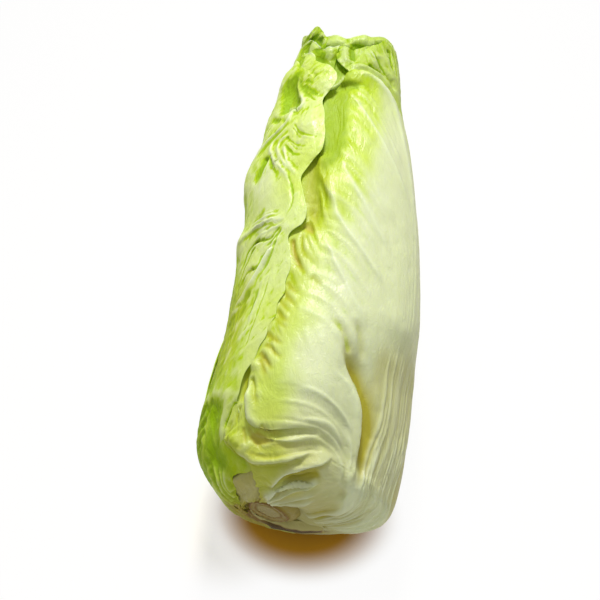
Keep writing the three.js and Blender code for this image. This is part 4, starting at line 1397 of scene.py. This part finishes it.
def lamp(name, kind, size, power, spread=None, **place):
    data = bpy.data.lights.new(name, kind)
    data.energy = power
    if kind == "AREA":
        data.shape, data.size = "DISK", size
    else:
        data.shadow_soft_size, data.spot_size, data.spot_blend = size, math.radians(spread), 1.0
    aim(add_object(name, data), **place)


def world():
    """An even white light, and white behind everything."""
    bpy.context.scene.world = bpy.data.worlds.new("studio")
    bpy.context.scene.world.use_nodes = True
    tree = bpy.context.scene.world.node_tree
    background = tree.nodes["Background"]
    background.inputs["Color"].default_value = (1, 1, 1, 1)
    path = tree.nodes.new("ShaderNodeLightPath")
    ramp = tree.nodes.new("ShaderNodeMapRange")
    ramp.inputs["To Min"].default_value = WORLD_LIGHT
    ramp.inputs["To Max"].default_value = 1.0
    tree.links.new(path.outputs["Is Camera Ray"], ramp.inputs["Value"])
    tree.links.new(ramp.outputs["Result"], background.inputs["Strength"])


def floor():
    mesh = bpy.data.meshes.new("floor")
    low = CAD_BOX[0][2]
    corners = [(x * FLOOR_HALF, y * FLOOR_HALF, low) for x, y in ((-1, -1), (1, -1), (1, 1), (-1, 1))]
    mesh.from_pydata(corners, [], [(0, 1, 2, 3)])
    mesh.materials.append(floor_material())
    ground = add_object("floor", mesh)


# ---------------------------------------------------------------- putting it together

EDGE_THICK = 0.35
WRAPPER_THICK = 0.8
INNER_THICK = 0.9
STUB_THICK = 1.0
STEM_THICK = 1.6


def blade(leaf, thick):
    """The thickness of a leaf at each place: thick in the middle, thinner at the margins and the tip."""
    rows, columns = leaf.share.shape
    side = np.minimum(np.arange(columns), np.arange(columns)[::-1])[None, :]
    top = np.arange(rows)[::-1][:, None]
    return mix(EDGE_THICK, thick, smooth(np.minimum(side, top), 0, 10))


def show(leaf, thickness, material, slot):
    """Makes a leaf's mesh the looks of the CAD node with its name."""
    node = leaf.name
    mesh = shell_mesh(leaf, thickness)
    mesh.materials.append(material)
    piece = add_object(node + "_look", mesh)
    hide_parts(node)
    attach(piece, "root")


def main():
    outer = leaf_material("outer_leaf_skin")
    inner = leaf_material("inner_leaf_skin", translucent=0.45)
    heart = leaf_material("heart_leaf_skin", fresher=0.4)
    for leaf in (right_wrapper(), left_wrapper(), back_wrapper()):
        show(leaf, blade(leaf, WRAPPER_THICK), outer, "outer_leaf")
    for leaf in (top_right_leaf(), top_left_leaf(), top_middle_leaf(), top_far_leaf()):
        show(leaf, blade(leaf, WRAPPER_THICK), inner, "inner_leaf")
    for number in range(SHAPED_LEAVES, INNER_LEAVES + HEART_LEAVES):
        leaf = inner_leaf(number)
        material, slot = (inner, "inner_leaf") if number < INNER_LEAVES else (heart, "heart_leaf")
        show(leaf, blade(leaf, INNER_THICK), material, slot)
    foot = butt()
    show(foot, np.full(foot.share.shape, STEM_THICK), outer, "stem")
    for leaf in (stub_left(), stub_below()):
        show(leaf, blade(leaf, STUB_THICK), outer, "trimmed_leaf")
    camera()
    world()
    lamp("key", **KEY)
    lamp("overhead", **OVERHEAD)
    floor()
    bpy.context.scene.view_settings.view_transform = "Standard"


main()
